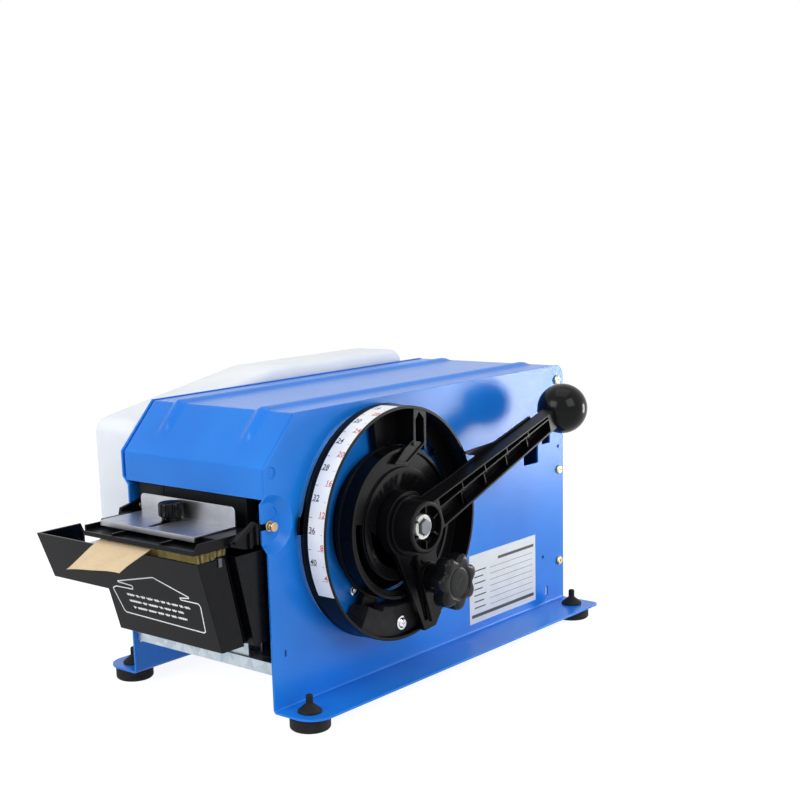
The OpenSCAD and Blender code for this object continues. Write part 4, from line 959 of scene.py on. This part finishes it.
@dataclass
class Dial:
    """The ring with its printed scale, the cup and what is fixed to them."""

    face_r: float = 95.45
    left: float = 92.9
    right: float = 108.9
    step: float = 7.5
    first: float = 197.5
    digit: float = 6.5
    digit_weight: float = 0.07
    digit_rise: float = 0.75
    ink: float = 0.03

    def build(self, shop: Workshop) -> None:
        """Finishes the dial's nodes and prints its numbers.

        Args:
            shop: Where the pieces are made.
        """
        shop.soften_each(
            ("dial_ring", MOULDED, 0.35), ("dial_cup", CUP_BLACK, 0.35), ("scale_band", SCALE_FILM, 0.1),
            ("bumper_block", RUBBER, 0.8), ("top_bracket", MOULDED, 0.3), ("dial_screws", CHROME, 0.3),
        )
        shop.fit("scale_black_print", self.print_row(False), BLACK_INK, "chassis", 10.0)
        shop.fit("scale_red_print", self.print_row(True), RED_INK, "chassis", 10.0)

    def on_band(self, x: Array, up: Array, out: Array, angle: float) -> Array:
        """Wraps flat print round the band.

        The height up the print becomes an angle, up / r, taken from the line's own angle. The relief adds
        to r.

        Args:
            x: Machine X.
            up: Distance up from the line, in mm.
            out: Relief in mm.
            angle: The line's angle in degrees.

        Returns:
            Points in space.
        """
        turn = np.radians(angle) - up / self.face_r
        radius = self.face_r + out
        return np.stack([x, SHAFT[0] + radius * np.cos(turn), SHAFT[1] + radius * np.sin(turn)], -1)

    def line(self, start: float, end: float, width: float, angle: float) -> Shape:
        """A printed line across the band.

        Args:
            start: X of its one end.
            end: X of its other end.
            width: Width of the line.
            angle: The line's angle in degrees.

        Returns:
            The closed line.
        """
        ends, up = np.array([[start], [end]]), np.array([0.0, width, width, 0.0])
        out = self.ink * np.array([-1, -1, 1, 1])
        return tube(self.on_band(*np.broadcast_arrays(ends, up, out), angle))

    def number(self, value: int, start: float, angle: float) -> Shape:
        """A number standing on its line.

        Args:
            value: The number.
            start: X of its left side.
            angle: The line's angle.

        Returns:
            Its closed letters, wrapped on the band.
        """
        curve = bpy.data.curves.new("digits", "FONT")
        curve.body, curve.size, curve.offset = str(value), self.digit, self.digit_weight
        curve.extrude, curve.resolution_u = self.ink, 3
        mesh = final_mesh(placed("digits", curve))
        flat = np.zeros(len(mesh.vertices) * 3)
        mesh.vertices.foreach_get("co", flat)
        x, up, out = flat.reshape(-1, 3).T
        faces = [tuple(polygon.vertices) for polygon in mesh.polygons]
        return Shape(self.on_band(x + start, up + self.digit_rise, out, angle), faces)

    def print_row(self, red: bool) -> Shape:
        """One colour of the scale: seven numbers on lines 15 degrees apart, with short ticks between.

        Args:
            red: Whether it is the red row, which counts up from the bottom.

        Returns:
            All of its print.
        """
        parts = []
        for k in range(7):
            angle = self.first - 2 * self.step * k
            if red:
                value, start = 4 + 4 * k, self.right - 6.4
                line = (start - 0.2, self.right - 0.3, 0.35)
                tick = (self.right - 3.2, self.right - 1.2, 0.3)
            else:
                value, start, angle = 40 - 4 * k, self.left + 1.0, angle - self.step
                line = (self.left + 0.2, start + 6.2, 0.45)
                tick = (self.left + 0.2, self.left + 3.2, 0.4)
            single_digit = 3.0 if value < 10 else 0.0
            parts += [self.line(*line, angle), self.number(value, start + single_digit, angle)]
            parts.append(self.line(*tick, angle - self.step))
        return together(*parts)


@dataclass
class Handle:
    """Pull handle, ball, pointer and the main shaft with its gear."""

    angle: float = 18.0
    reach: float = 221.0
    ball_x: float = 123.75
    ball_r: float = 22.3
    seam_depth: float = 0.004
    seam_half: float = 0.9

    def build(self, shop: Workshop) -> None:
        """Finishes the handle's nodes and turns the ball."""
        shop.soften_each(
            ("pull_handle", MOULDED, 0.4), ("pointer_plate", MOULDED, 0.4), ("main_shaft", DARK_STEEL, 0.35),
            ("shaft_ring", WHITE_RING, 0.35), ("drive_gear", GEAR_STEEL, 0.15),
        )
        shop.fit("ball_knob_turned", self.ball(), GLOSS_BLACK, "handle", 60.0, "ball_knob")

    def ball(self) -> Shape:
        """A ball x = r sin t, radius r cos t, with a hair-line moulding seam round its middle.

        Returns:
            The ball at the end of the arm.
        """
        t = np.radians(np.linspace(-90.0, 90.0, 97))
        seam = 1.0 - self.seam_depth * np.exp(-((np.degrees(t) / self.seam_half) ** 2))
        radius = np.maximum(self.ball_r * np.cos(t) * seam, 1e-3)
        ball = lathe(np.column_stack([radius, self.ball_r * np.sin(t) * seam]), 128)
        return ball.moved(self.ball_x, SHAFT[0] + self.reach, SHAFT[1]).turned(self.angle, SHAFT)


@dataclass
class LengthStop:
    """The length stop's arm and its star knob."""

    arm_angle: float = -72.8
    knob_angle: float = -63.8
    knob_reach: float = 54.0
    shank: float = 118.3
    lobes: int = 7
    lobe_h: float = 2.3

    def build(self, shop: Workshop) -> None:
        """Finishes the arm and moulds the knob."""
        shop.soften("stop_arm", MOULDED, 0.4)
        shop.fit("star_knob_moulded", self.knob(), STAR_BLACK, "star", 50.0, "star_knob")

    def knob(self) -> Shape:
        """A star head on a shank, whose rim is wider by a share of h (c - 0.25 c^2 + 0.1), with c = cos(7 a).

        That gives broad tips and narrower waists. Each row of the profile holds radius, X and that share.

        Returns:
            The knob on its arm.
        """
        steps = self.lobes * 20
        wave = np.cos(self.lobes * (circle(steps) - math.radians(self.arm_angle)))
        profile = np.array([
            (0.4, 132.7, 0), (12.0, 132.7, 0), (19.4, 132.8, 0.9), (20.6, 133.3, 1), (21.3, 134.3, 1),
            (21.6, 135.6, 1), (21.6, 143.2, 1), (21.3, 144.7, 1), (20.6, 145.9, 1), (19.5, 146.6, 0.92),
            (18.0, 146.95, 0.75), (14.6, 147.0, 0.2), (13.9, 146.9, 0.06), (13.4, 146.3, 0), (13.1, 146.0, 0),
            (12.6, 145.9, 0), (12.2, 146.1, 0), (11.8, 146.45, 0), (11.2, 146.55, 0), (6.0, 146.6, 0),
            (0.4, 146.6, 0),
        ])
        head = lathe(profile[:, :2], steps, profile[:, 2:] * self.lobe_h * (wave - 0.25 * wave**2 + 0.1))
        low = self.shank
        stem = [(0.4, low), (11.4, low), (12.0, low + 0.6), (12.0, 131.6), (12.4, 133.0), (0.4, 133.2)]
        shank = lathe(stem, 72)
        knob = together(head, shank).moved(0.0, SHAFT[0] + self.knob_reach, SHAFT[1])
        return knob.turned(self.knob_angle, SHAFT)


@dataclass
class FeedTrain:
    """Feed wheel, rollers, the tape roll and the tape on its way to the blade."""

    roll: Pair = (290.0, 146.5)
    roll_r: float = 72.0
    bore_r: float = 18.05
    half_width: float = 30.0
    tape_t: float = 0.2
    tape_front: Pair = (17.2, 150.1)
    tape_bend: Pair = (150.0, 150.1)
    bend_r: float = 26.0
    roll_gap: float = 0.3

    def build(self, shop: Workshop) -> None:
        """Finishes the feed train's nodes, winds the roll and lays the tape.

        Args:
            shop: Where the pieces are made.
        """
        shop.soften_each(
            ("feed_wheel", FEED_RUBBER, 0.4), ("feed_shaft", GROUND_STEEL, 0.4), ("pinion", GEAR_STEEL, 0.12),
            ("pinch_roller", FEED_RUBBER, 0.4), ("shear_blade", PLATE_STEEL, 0.2),
            ("roll_core", CORE_BOARD, 0.3), ("front_cradle_roller", GROUND_STEEL, 0.5),
            ("rear_cradle_roller", GROUND_STEEL, 0.5),
        )
        shop.fit("tape_roll_wound", self.wound_roll(), KRAFT_ROLL, "roll", 70.0, "tape_roll")
        shop.fit("tape_web_laid", self.web(), KRAFT, "chassis", 70.0, "tape_web")

    def wound_roll(self) -> Shape:
        """Side faces whose layers stand in and out by a few tenths, x = w + d(r), round a bore.

        Returns:
            The ring-shaped roll.
        """
        edge = [self.roll_r - 0.2, self.roll_r]
        radius = np.concatenate([np.linspace(self.bore_r, self.roll_r - 0.6, 70), edge])
        broad = 0.22 * np.sin(radius * 1.9) * np.sin(radius * 0.53 + 1.0)
        relief = broad + 0.12 * np.sin(radius * 5.3) - 0.34
        relief[-2:] = (-0.25, -0.7)
        right = np.column_stack([radius, self.half_width + relief])
        rings = np.concatenate([right, right[::-1] * [1.0, -1.0]])
        steps = 144
        faces = quads(len(rings), steps, True, True)
        return Shape(lathe(rings, steps).points, faces).moved(0.0, *self.roll)

    def web(self) -> Shape:
        """The tape along its bed, a soft bend, and the straight rise to where it touches the roll.

        Returns:
            The closed sheet.
        """
        r = self.roll_r + self.roll_gap
        reach = np.array(self.roll) - self.tape_bend
        touch = math.atan2(-reach[1], -reach[0]) - math.acos(r / float(np.linalg.norm(reach))) + 2 * math.pi
        foot = np.array(self.roll) + r * np.array([math.cos(touch), math.sin(touch)])
        path = refined(rounded_path([self.tape_front, self.tape_bend, foot], [self.bend_r], 2.0), 6.0)
        x = np.linspace(-self.half_width, self.half_width, 9)
        low = np.stack(np.broadcast_arrays(x, path[:, :1], path[:, 1:]), -1)
        up = left_of(unit(np.gradient(path, axis=0)))
        rise = np.column_stack([np.zeros(len(path)), up])[:, None] * self.tape_t
        return sheet_between(low + rise, low)


@dataclass
class TopCover:
    """The hinged blue cover, one folded sheet with two pressed beads."""

    half_width: float = 79.9
    thickness: float = 1.5
    front: float = 1.0
    rear: float = 402.7
    top: float = 239.2
    fold: float = 201.5
    apron: float = 178.0
    slope_end: float = 36.0
    lip: float = 211.0
    fold_r: Triple = (2.2, 2.6, 8.0)
    edge_r: float = 1.6
    bead_x: float = 47.0
    bead_half: float = 8.0
    bead_h: float = 3.0
    bead_share: float = 0.6
    bead_start: float = 9.0
    bead_stop: float = 7.0
    bead_clear: float = 9.0

    def build(self, shop: Workshop) -> None:
        """Presses the cover."""
        cover = together(self.sheet(), *self.skirts())
        shop.fit("top_cover_pressed", cover, BLUE, "cover", 32.0, "top_cover")

    def sheet(self) -> Shape:
        """The folded sheet, as a function of the way along its profile and of X.

        The profile runs up the apron, over two folds and round the rear corner. Across it, X runs straight
        and turns down over each edge by an arc: x = w - r + r sin f, drop r (1 - cos f). A bead lifts the
        sheet along its normal by h (1 - t^2)^1.6 with t = (|x| - bead_x) / half width, eased in and out
        along the way.

        Returns:
            The closed sheet.
        """
        corners = [
            (self.front, self.apron), (self.front, self.fold), (self.slope_end, self.top),
            (self.rear, self.top), (self.rear, self.lip),
        ]
        path = refined(rounded_path(corners, self.fold_r, 9.0), 5.0)
        way = way_along(path)
        out = left_of(unit(np.gradient(path, axis=0)))
        flat_end = self.half_width - self.edge_r
        bead = self.bead_x + np.linspace(-self.bead_half, self.bead_half, 25)
        flat_x = np.unique(np.concatenate([np.linspace(0.0, flat_end, 18), bead]))
        arc = np.radians(np.linspace(15.0, 90.0, 6))
        half_x = np.concatenate([flat_x, flat_end + self.edge_r * np.sin(arc)])
        half_drop = np.concatenate([np.zeros(len(flat_x)), self.edge_r * (1 - np.cos(arc))])
        x = np.concatenate([-half_x[:0:-1], half_x])
        drop = np.concatenate([half_drop[:0:-1], half_drop])
        slope = math.hypot(self.slope_end - self.front, self.top - self.fold)
        start = self.fold - self.apron + slope * (1 - self.bead_share)
        stop = way[np.argmax(path[:, 0] > self.rear - self.bead_clear)]
        share = ease((way - start) / self.bead_start) * ease((stop - way) / self.bead_stop)
        t = np.clip((np.abs(x) - self.bead_x) / self.bead_half, -1.0, 1.0)
        height = self.bead_h * share[:, None] * (1 - t**2) ** 1.6 - drop
        across = np.broadcast_to(x, height.shape)
        outer = np.stack([across, path[:, :1] + out[:, :1] * height, path[:, 1:] + out[:, 1:] * height], -1)
        normal = unit(np.cross(np.gradient(outer, axis=0), np.gradient(outer, axis=1)))
        outward = np.sign(np.median(normal[..., 1] * out[:, :1] + normal[..., 2] * out[:, 1:]))
        inner = outer - outward * normal * self.thickness
        inner[:, 0, 0] = inner[:, 1, 0]
        return sheet_between(outer, inner)

    def skirts(self) -> list[Shape]:
        """The folded side skirts below the sheet, down to the hinge screws at the rear.

        Returns:
            The right and the left skirt.
        """
        outline = [
            (2.6, 185.0), (2.6, 202.2), (36.4, 237.6), (393.0, 237.6), (401.0, 231.0), (401.4, 212.0),
            (392.0, 211.0), (374.0, 229.2), (40.0, 229.2), (11.0, 197.5), (11.0, 185.0),
        ]
        sides = (self.half_width - self.thickness, -self.half_width)
        return [prism(outline, x, x + self.thickness) for x in sides]


@dataclass
class PressureUnit:
    """The hinged black frame, its steel plate and the small knob."""

    knob: Pair = (-6.0, -16.0)
    knob_low: float = 156.4
    knob_h: float = 14.0
    knob_r: float = 10.0
    stem_r: float = 2.4
    stem_low: float = 147.6
    flutes: int = 12
    flute_depth: float = 1.25

    def build(self, shop: Workshop) -> None:
        """Finishes the frame's nodes and moulds the knob."""
        shop.soften_each(
            ("pressure_frame", MOULDED, 0.3), ("frame_links", MOULDED, 0.3),
            ("steel_plate", PLATE_STEEL, 0.35),
        )
        shop.fit("plate_knob_moulded", self.moulded_knob(), GLOSS_BLACK, "knob", 46.0, "plate_knob")

    def moulded_knob(self) -> Shape:
        """A collar and a fluted head, r = R - d max(0, cos(n a))^0.6, with a rounded rim and a dished top.

        Each row of the profile holds radius, height and the share of the flutes' depth.

        Returns:
            The knob on its stem.
        """
        steps = self.flutes * 16
        flute = -self.flute_depth * np.maximum(np.cos(self.flutes * circle(steps)), 0.0) ** 0.6
        low, top, r = self.knob_low, self.knob_low + self.knob_h, self.knob_r
        profile = np.array([
            (0.3, self.stem_low, 0), (self.stem_r, self.stem_low, 0), (self.stem_r, low + 0.05, 0),
            (r - 2.5, low + 0.05, 0), (r - 2.2, low + 0.4, 0), (r - 2.2, low + 2.4, 0),
            (r - 1.4, low + 3.0, 0.3), (r - 0.4, low + 3.4, 0.8), (r, low + 4.2, 1), (r, top - 1.6, 1),
            (r - 0.3, top - 0.7, 0.85), (r - 0.9, top - 0.15, 0.5), (r - 1.6, top, 0.15),
            (r - 2.6, top - 0.1, 0), (r - 3.4, top - 0.45, 0), (3.0, top - 0.6, 0), (0.3, top - 0.6, 0),
        ])
        head = lathe(profile[:, :2], steps, profile[:, 2:] * flute)
        return Shape(head.points[:, [1, 2, 0]] + np.array([*self.knob, 0.0]), head.faces)


@dataclass
class WaterTank:
    """The slide-out tank with its print, the brush, the clip and the tape end over them."""

    front: float = -61.0
    slope: float = 20.0 / 72.0
    top: float = 140.0
    print_t: float = 0.05
    print_sunk: float = 0.01
    outline_w: float = 0.95
    dash_w: float = 1.1
    dash_gap: float = 1.7
    mitre_limit: float = 0.35
    brush_x: Pair = (-41.0, 61.0)
    brush_y: Pair = (-45.3, -28.7)
    root_z: float = 117.0
    tip_z: float = 145.3
    tufts: tuple[int, int] = (34, 7)
    hairs: int = 14
    hair_seed: int = 7
    hair_r: Triple = (0.26, 0.24, 0.14)
    root_spread: float = 0.9
    tip_share: float = 0.34
    tip_spread: float = 0.5
    tip_lean: Pair = (-7.4, 3.4)
    tip_uneven: float = 0.7
    bow_lean: float = -0.6
    bow_spread: float = 0.8
    strip_x: Pair = (-42.0, 18.0)
    strip_rear: float = -26.0
    strip_length: float = 65.5
    strip_skew: float = 1.2
    strip_z: float = 145.75
    strip_faces: Pair = (0.18, -0.17)

    def build(self, shop: Workshop) -> None:
        """Finishes the tank's nodes and adds bristles, the tape end and the print.

        Args:
            shop: Where the pieces are made.
        """
        shop.soften_each(
            ("water_tank", TANK_BLACK, 0.45), ("tank_clip", CLIP_STEEL, 0.2), ("brush_backing", WOOD, 0.6),
        )
        shop.fit("brush_hairs", self.bristles(), HAIR, "tank", 70.0, "brush_bristles")
        shop.fit("tape_end", self.tape_end(), KRAFT, "tank", 70.0, "tape_strip")
        shop.fit("tank_print", self.arrow_print(), WHITE_INK, "tank", 10.0)

    def ribbon(self, path: Array, width: float, closed: bool) -> Shape:
        """A printed line of even width on the tank's slanted front, with mitred corners.

        At each point the half width is measured along the corner's bisector, w / (2 cos(half turn)). A
        height h above the front moves a point by h along the slope's outer normal.

        Args:
            path: X and Z of the middle line.
            width: Width of the line.
            closed: Whether the last point joins the first.

        Returns:
            The closed shape.
        """
        before, after = np.roll(path, 1, 0), np.roll(path, -1, 0)
        if not closed:
            before[0], after[-1] = 2 * path[0] - path[1], 2 * path[-1] - path[-2]
        into, out = unit(path - before), unit(after - path)
        side = unit(left_of(into + out))
        across = np.abs(np.sum(side * left_of(into), 1, keepdims=True))
        reach = side * width / 2 / np.maximum(across, self.mitre_limit)
        ring = np.stack([path + reach, path - reach, path - reach, path + reach], 1)
        lift = np.array([0.0, 0.0, self.print_t, self.print_t]) - self.print_sunk
        x, z = ring[..., 0], ring[..., 1]
        length = math.hypot(1.0, self.slope)
        y = self.front + self.slope * (self.top - z) - lift / length
        grid = np.stack([x, y, z - lift * self.slope / length], -1)
        return Shape(grid.reshape(-1, 3), quads(len(path), 4, True, True)) if closed else tube(grid)

    def arrow_print(self) -> Shape:
        """The printed house-shaped arrow with rounded corners, and three plain broken lines inside it.

        Each corner has its X, its Z and its radius; each broken line has its Z, its start and the lengths
        of its dashes.

        Returns:
            All of the print.
        """
        corners = np.array([
            (14.0, 121.5, 0.6), (-33.4, 111.0, 0.4), (-14.0, 109.9, 0.7), (-14.8, 107.0, 0.7),
            (-34.6, 106.6, 3.0), (-39.5, 104.6, 1.2), (-33.5, 86.0, 1.2), (-31.5, 84.6, 1.2),
            (56.5, 82.8, 1.2), (58.6, 84.0, 1.6), (61.0, 104.5, 2.0), (59.6, 107.2, 0.7),
            (40.5, 107.2, 0.7), (39.7, 108.8, 0.4), (52.5, 110.3, 0.6),
        ])
        loop = np.vstack([corners[-1:], corners, corners[:1]])[:, :2]
        parts = [self.ribbon(rounded_path(loop, corners[:, 2], 25.0)[1:-1], self.outline_w, True)]
        for z, x, lengths in (
            (101.5, -24.0, (9, 4, 5, 7, 6, 5, 4, 7, 4, 6)), (96.2, -23.0, (14, 5, 11, 4, 7, 5, 6)),
            (90.9, -20.0, (3, 11, 9, 7, 5, 6, 10)),
        ):
            for length in lengths:
                way = np.linspace(0.0, length, length * 2 + 1)
                wave = z + 0.5 * np.sin(way * 3.1) * (1 - np.abs(2 * way / length - 1) ** 6)
                parts.append(self.ribbon(np.column_stack([x + way, wave]), self.dash_w, False))
                x += length + self.dash_gap
        return together(*parts)

    def bristles(self) -> Shape:
        """Hairs in tufts that fan out to the front, each a four-sided tapered tube of three rings.

        A hair's middle line is p(s) = root + (tip - root) s + 4 bow s (1 - s), with tips spread more than
        roots.

        Returns:
            All hairs, each closed.
        """
        draw = np.random.default_rng(self.hair_seed)
        columns, rows = self.tufts
        i, j, _ = np.meshgrid(np.arange(columns), np.arange(rows), np.arange(self.hairs), indexing="ij")
        count = i.size
        u, v = (i / (columns - 1)).ravel(), (j / (rows - 1)).ravel()
        (x0, x1), (y0, y1) = self.brush_x, self.brush_y
        spread = self.root_spread
        root = np.stack([
            x0 + (x1 - x0) * u + draw.uniform(-spread, spread, count),
            y0 + (y1 - y0) * v + draw.uniform(-spread, spread, count),
            np.full(count, self.root_z),
        ], 1)
        tip = np.stack([
            root[:, 0] + draw.normal(0.0, self.tip_share * (x1 - x0) / (columns - 1), count),
            root[:, 1] + np.interp(v, [0.0, 1.0], self.tip_lean) + draw.normal(0.0, self.tip_spread, count),
            self.tip_z - np.abs(draw.normal(0.0, self.tip_uneven, count)),
        ], 1)
        tip[:, 0] = np.clip(tip[:, 0], x0 - 1.0, x1 + 1.2)
        bow = np.stack([
            draw.normal(0.0, self.bow_spread, count),
            draw.normal(self.bow_lean, self.bow_spread, count),
            np.zeros(count),
        ], 1)
        s = np.array([[0.0], [0.55], [1.0]])
        line = root[:, None] + (tip - root)[:, None] * s + bow[:, None] * 4 * s * (1 - s)
        corner = np.radians(np.arange(4) * 90.0)
        ring = np.stack([np.cos(corner), np.sin(corner), np.zeros(4)], 1)
        taper = np.array(self.hair_r)[:, None, None]
        points = line[:, :, None] + ring * taper
        single = np.array(quads(3, 4, True) + [(3, 2, 1, 0), (8, 9, 10, 11)])
        faces = (single + 12 * np.arange(count)[:, None, None]).reshape(-1, 4)
        return Shape(points.reshape(-1, 3), [tuple(face) for face in faces.tolist()])

    def tape_end(self) -> Shape:
        """The cut tape, as a function of the way along and across it.

        Its middle line droops over the tank's wall, its corners curl, z + f (1.4 (1 - c^2) + 2.4 c - 0.9)
        with a small wave, and its end is slightly skewed.

        Returns:
            The closed sheet.
        """
        a, c = np.meshgrid(np.linspace(0.0, 1.0, 61), np.linspace(-1.0, 1.0, 25), indexing="ij")
        x = sum(self.strip_x) / 2 + c * (self.strip_x[1] - self.strip_x[0]) / 2
        y = self.strip_rear - a * (self.strip_length - self.strip_skew * c)
        places = [-91.5, -82.0, -72.0, -63.5, -58.0, -53.0, self.strip_rear]
        drops = [-15.0, -10.6, -6.4, -3.0, -1.0, 0.0, 0.0]
        free = ease((a - 0.5) / 0.5)
        curl = free * (1.4 * (1 - c**2) + 2.4 * c - 0.9 + 0.25 * np.sin(4.0 * c + 5.0 * a))
        z = self.strip_z + np.interp(y, places, drops) + curl
        return sheet_between(*(np.stack([x, y, z + face], -1) for face in self.strip_faces))


@dataclass
class Bottle:
    """The blow-moulded bottle and its spout."""

    low_x: float = -145.0
    high_x: float = -86.0
    corners: tuple[Pair, ...] = ((20.0, 78.0), (375.0, 78.0), (375.0, 251.0), (186.85, 251.0), (20.0, 221.0))
    middle: Pair = (200.0, 160.0)
    corner_r: float = 14.0
    least_r: float = 3.0
    edge_r: float = 9.0
    crown: float = 0.7

    def build(self, shop: Workshop) -> None:
        """Blows the bottle and finishes the spout."""
        shop.fit("water_bottle_blown", self.blown(), POLYTHENE, "bottle", 60.0, "water_bottle")
        shop.soften("bottle_spout", POLYTHENE, 0.7, 3)

    def outline(self, inset: float) -> Array:
        """The side view in Y and Z, with ten points on each rounded corner and seven on each side.

        Args:
            inset: How far it is set in from the bottle's outline.

        Returns:
            The points, n x 2.
        """
        corner = np.array(self.corners)
        inward = unit(left_of(np.roll(corner, -1, 0) - corner))
        before = np.roll(inward, 1, 0)
        moved = corner + inset * (before + inward) / (1.0 + np.sum(before * inward, 1, keepdims=True))
        loop = np.vstack([moved[-1:], moved, moved[:1]])
        arcs = []
        for k in range(len(corner)):
            arc = rounded_path(loop[k:k + 3], [max(self.corner_r - inset, self.least_r)], 9.0)[1:-1]
            way = way_along(arc)
            arcs.append(np.stack([np.interp(np.linspace(0, way[-1], 10), way, v) for v in arc.T], 1))
        sides = [np.linspace(arc[-1], after[0], 9)[1:-1] for arc, after in zip(arcs, arcs[1:] + arcs[:1])]
        return np.concatenate([part for pair in zip(arcs, sides) for part in pair])

    def blown(self) -> Shape:
        """Rings from one crowned side face, round the edge radius, to the other.

        On the edge the ring is set in by r (1 - sin f) and lies r (1 - cos f) inside the face; on the face it
        shrinks towards the middle while the crown lifts it by c (1 - s^2).

        Returns:
            The closed bottle.
        """
        middle, face, r = np.array(self.middle), self.outline(self.edge_r), self.edge_r
        shares, turns = np.linspace(0.02, 1.0, 9)[:-1], np.radians(np.linspace(0.0, 90.0, 8))
        rings = [(middle + (face - middle) * s, -self.crown * (1 - s**2)) for s in shares]
        rings += [(self.outline(r * (1 - math.sin(f))), r * (1 - math.cos(f))) for f in turns]
        places = [(o, self.low_x + self.crown + x) for o, x in rings]
        places += [(o, self.high_x - self.crown - x) for o, x in reversed(rings)]
        return tube(np.stack([np.column_stack([np.full(len(o), x), o]) for o, x in places]))


# ----------------------------------------------------------------------------- studio


def seen(recipe: Recipe) -> Socket:
    """1 for rays from the camera, off gloss and through glass.

    Args:
        recipe: The nodes of the floor or of the world.

    Returns:
        The mask.
    """
    rays = ("Is Camera Ray", "Is Glossy Ray", "Is Transmission Ray")
    camera, gloss, glass = (recipe.node("ShaderNodeLightPath", outlet=ray) for ray in rays)
    return camera.at_least(gloss).at_least(glass)


@dataclass
class Studio:
    """Floor, soft light, pale background and the camera."""

    world_light: float = 0.34
    floor_reach: float = 9.0
    floor_colour: Colour = (0.86, 0.87, 0.88, 1.0)
    floor_glow: float = 1.3
    floor_share: float = 0.7
    camera_place: Triple = (803.9, -721.5, 383.6)
    azimuth: float = 42.084
    elevation: float = 11.2
    roll: float = -1.967
    focal: float = 1399.39
    middle: Pair = (335.455, 493.711)
    picture: float = 800.0
    sensor: float = 36.0

    def build(self) -> None:
        """Sets up everything around the machine."""
        self.world()
        self.floor()
        self.lamp("key_softbox", (-0.45, -1.95, 1.25), (0.0, -0.05, 0.14), (1.5, 1.0), 26.0)
        self.lamp("top_softbox", (0.15, 0.1, 2.1), (0.0, 0.05, 0.1), (1.6, 1.6), 9.0)
        self.lamp("side_softbox", (1.55, -0.2, 1.1), (0.05, 0.0, 0.12), (1.0, 1.0), 11.0)
        self.lamp("rear_strip", (0.56, 0.86, 0.16), (0.083, 0.151, 0.13), (0.2, 0.3), 3.2)
        self.camera()
        bpy.context.scene.view_settings.view_transform = "Standard"

    def world(self) -> None:
        """A white background for the camera, metal and glass, and a dimmer one for soft light."""
        world = bpy.data.worlds.new("studio_world")
        bpy.context.scene.world = world
        recipe = Recipe(world)
        strength = self.world_light + seen(recipe) * (1.0 - self.world_light)
        shader = recipe.node("ShaderNodeBackground", inputs={"Color": WHITE, "Strength": strength})
        recipe.node("ShaderNodeOutputWorld", inputs={"Surface": shader})

    def floor(self) -> None:
        """A wide pale floor that keeps a faint shadow."""
        mesh = bpy.data.meshes.new("studio_floor")
        square = np.array([[-1, -1, 0], [1, -1, 0], [1, 1, 0], [-1, 1, 0]]) * self.floor_reach
        mesh.from_pydata(square.tolist(), [], [(0, 1, 2, 3)])
        floor = placed("studio_floor", mesh)
        material = bpy.data.materials.new("studio_floor")
        recipe = Recipe(material)
        matt = recipe.node("ShaderNodeBsdfDiffuse", inputs={"Color": self.floor_colour})
        glow = recipe.node("ShaderNodeEmission", inputs={"Color": WHITE, "Strength": self.floor_glow})
        share = seen(recipe) * self.floor_share
        both = recipe.node("ShaderNodeMixShader", inputs={0: share, 1: matt, 2: glow})
        recipe.node("ShaderNodeOutputMaterial", inputs={"Surface": both})
        mesh.materials.append(material)

    def lamp(self, name: str, place: Triple, target: Triple, size: Pair, power: float) -> None:
        """Adds a soft area lamp.

        Args:
            name: Its name.
            place: Where it hangs, in metres.
            target: What it points at.
            size: Its width and height.
            power: Its power in watts.
        """
        light = bpy.data.lights.new(name, "AREA")
        light.shape, light.energy = "RECTANGLE", power
        light.size, light.size_y = size
        lamp = placed(name, light)
        lamp.location = place
        lamp.rotation_euler = (Vector(target) - Vector(place)).to_track_quat("-Z", "Y").to_euler()
        lamp.visible_camera = False

    def camera(self) -> None:
        """The photograph's camera, from its place, direction, roll, focal length and principal point."""
        az, el, roll = (math.radians(v) for v in (self.azimuth, self.elevation, self.roll))
        ahead = Vector((-math.sin(az) * math.cos(el), math.cos(az) * math.cos(el), -math.sin(el)))
        level = ahead.cross(Vector((0, 0, 1))).normalized()
        upright = level.cross(ahead)
        right = level * math.cos(roll) + upright * math.sin(roll)
        up = upright * math.cos(roll) - level * math.sin(roll)
        data = bpy.data.cameras.new("photo_camera")
        data.sensor_width = self.sensor
        data.lens = self.focal * self.sensor / self.picture
        data.shift_x = (self.picture / 2 - self.middle[0]) / self.picture
        data.shift_y = (self.middle[1] - self.picture / 2) / self.picture
        data.clip_end = 50.0
        camera = placed("photo_camera", data)
        turn = Matrix((right, up, -ahead)).transposed().to_4x4()
        place = (np.array(self.camera_place) + ROW_SHIFT) * MM
        camera.matrix_world = Matrix.Translation(Vector(place)) @ turn
        bpy.context.scene.camera = camera


def main() -> None:
    """Builds every sub-assembly in order."""
    logging.basicConfig(level=logging.INFO, format="%(message)s")
    shop = Workshop(frame["nodes"])
    Studio().build()
    parts = (Chassis, Dial, Handle, LengthStop, FeedTrain, TopCover, PressureUnit, WaterTank, Bottle)
    for part in parts:
        part().build(shop)


if __name__ == "__main__":
    main()
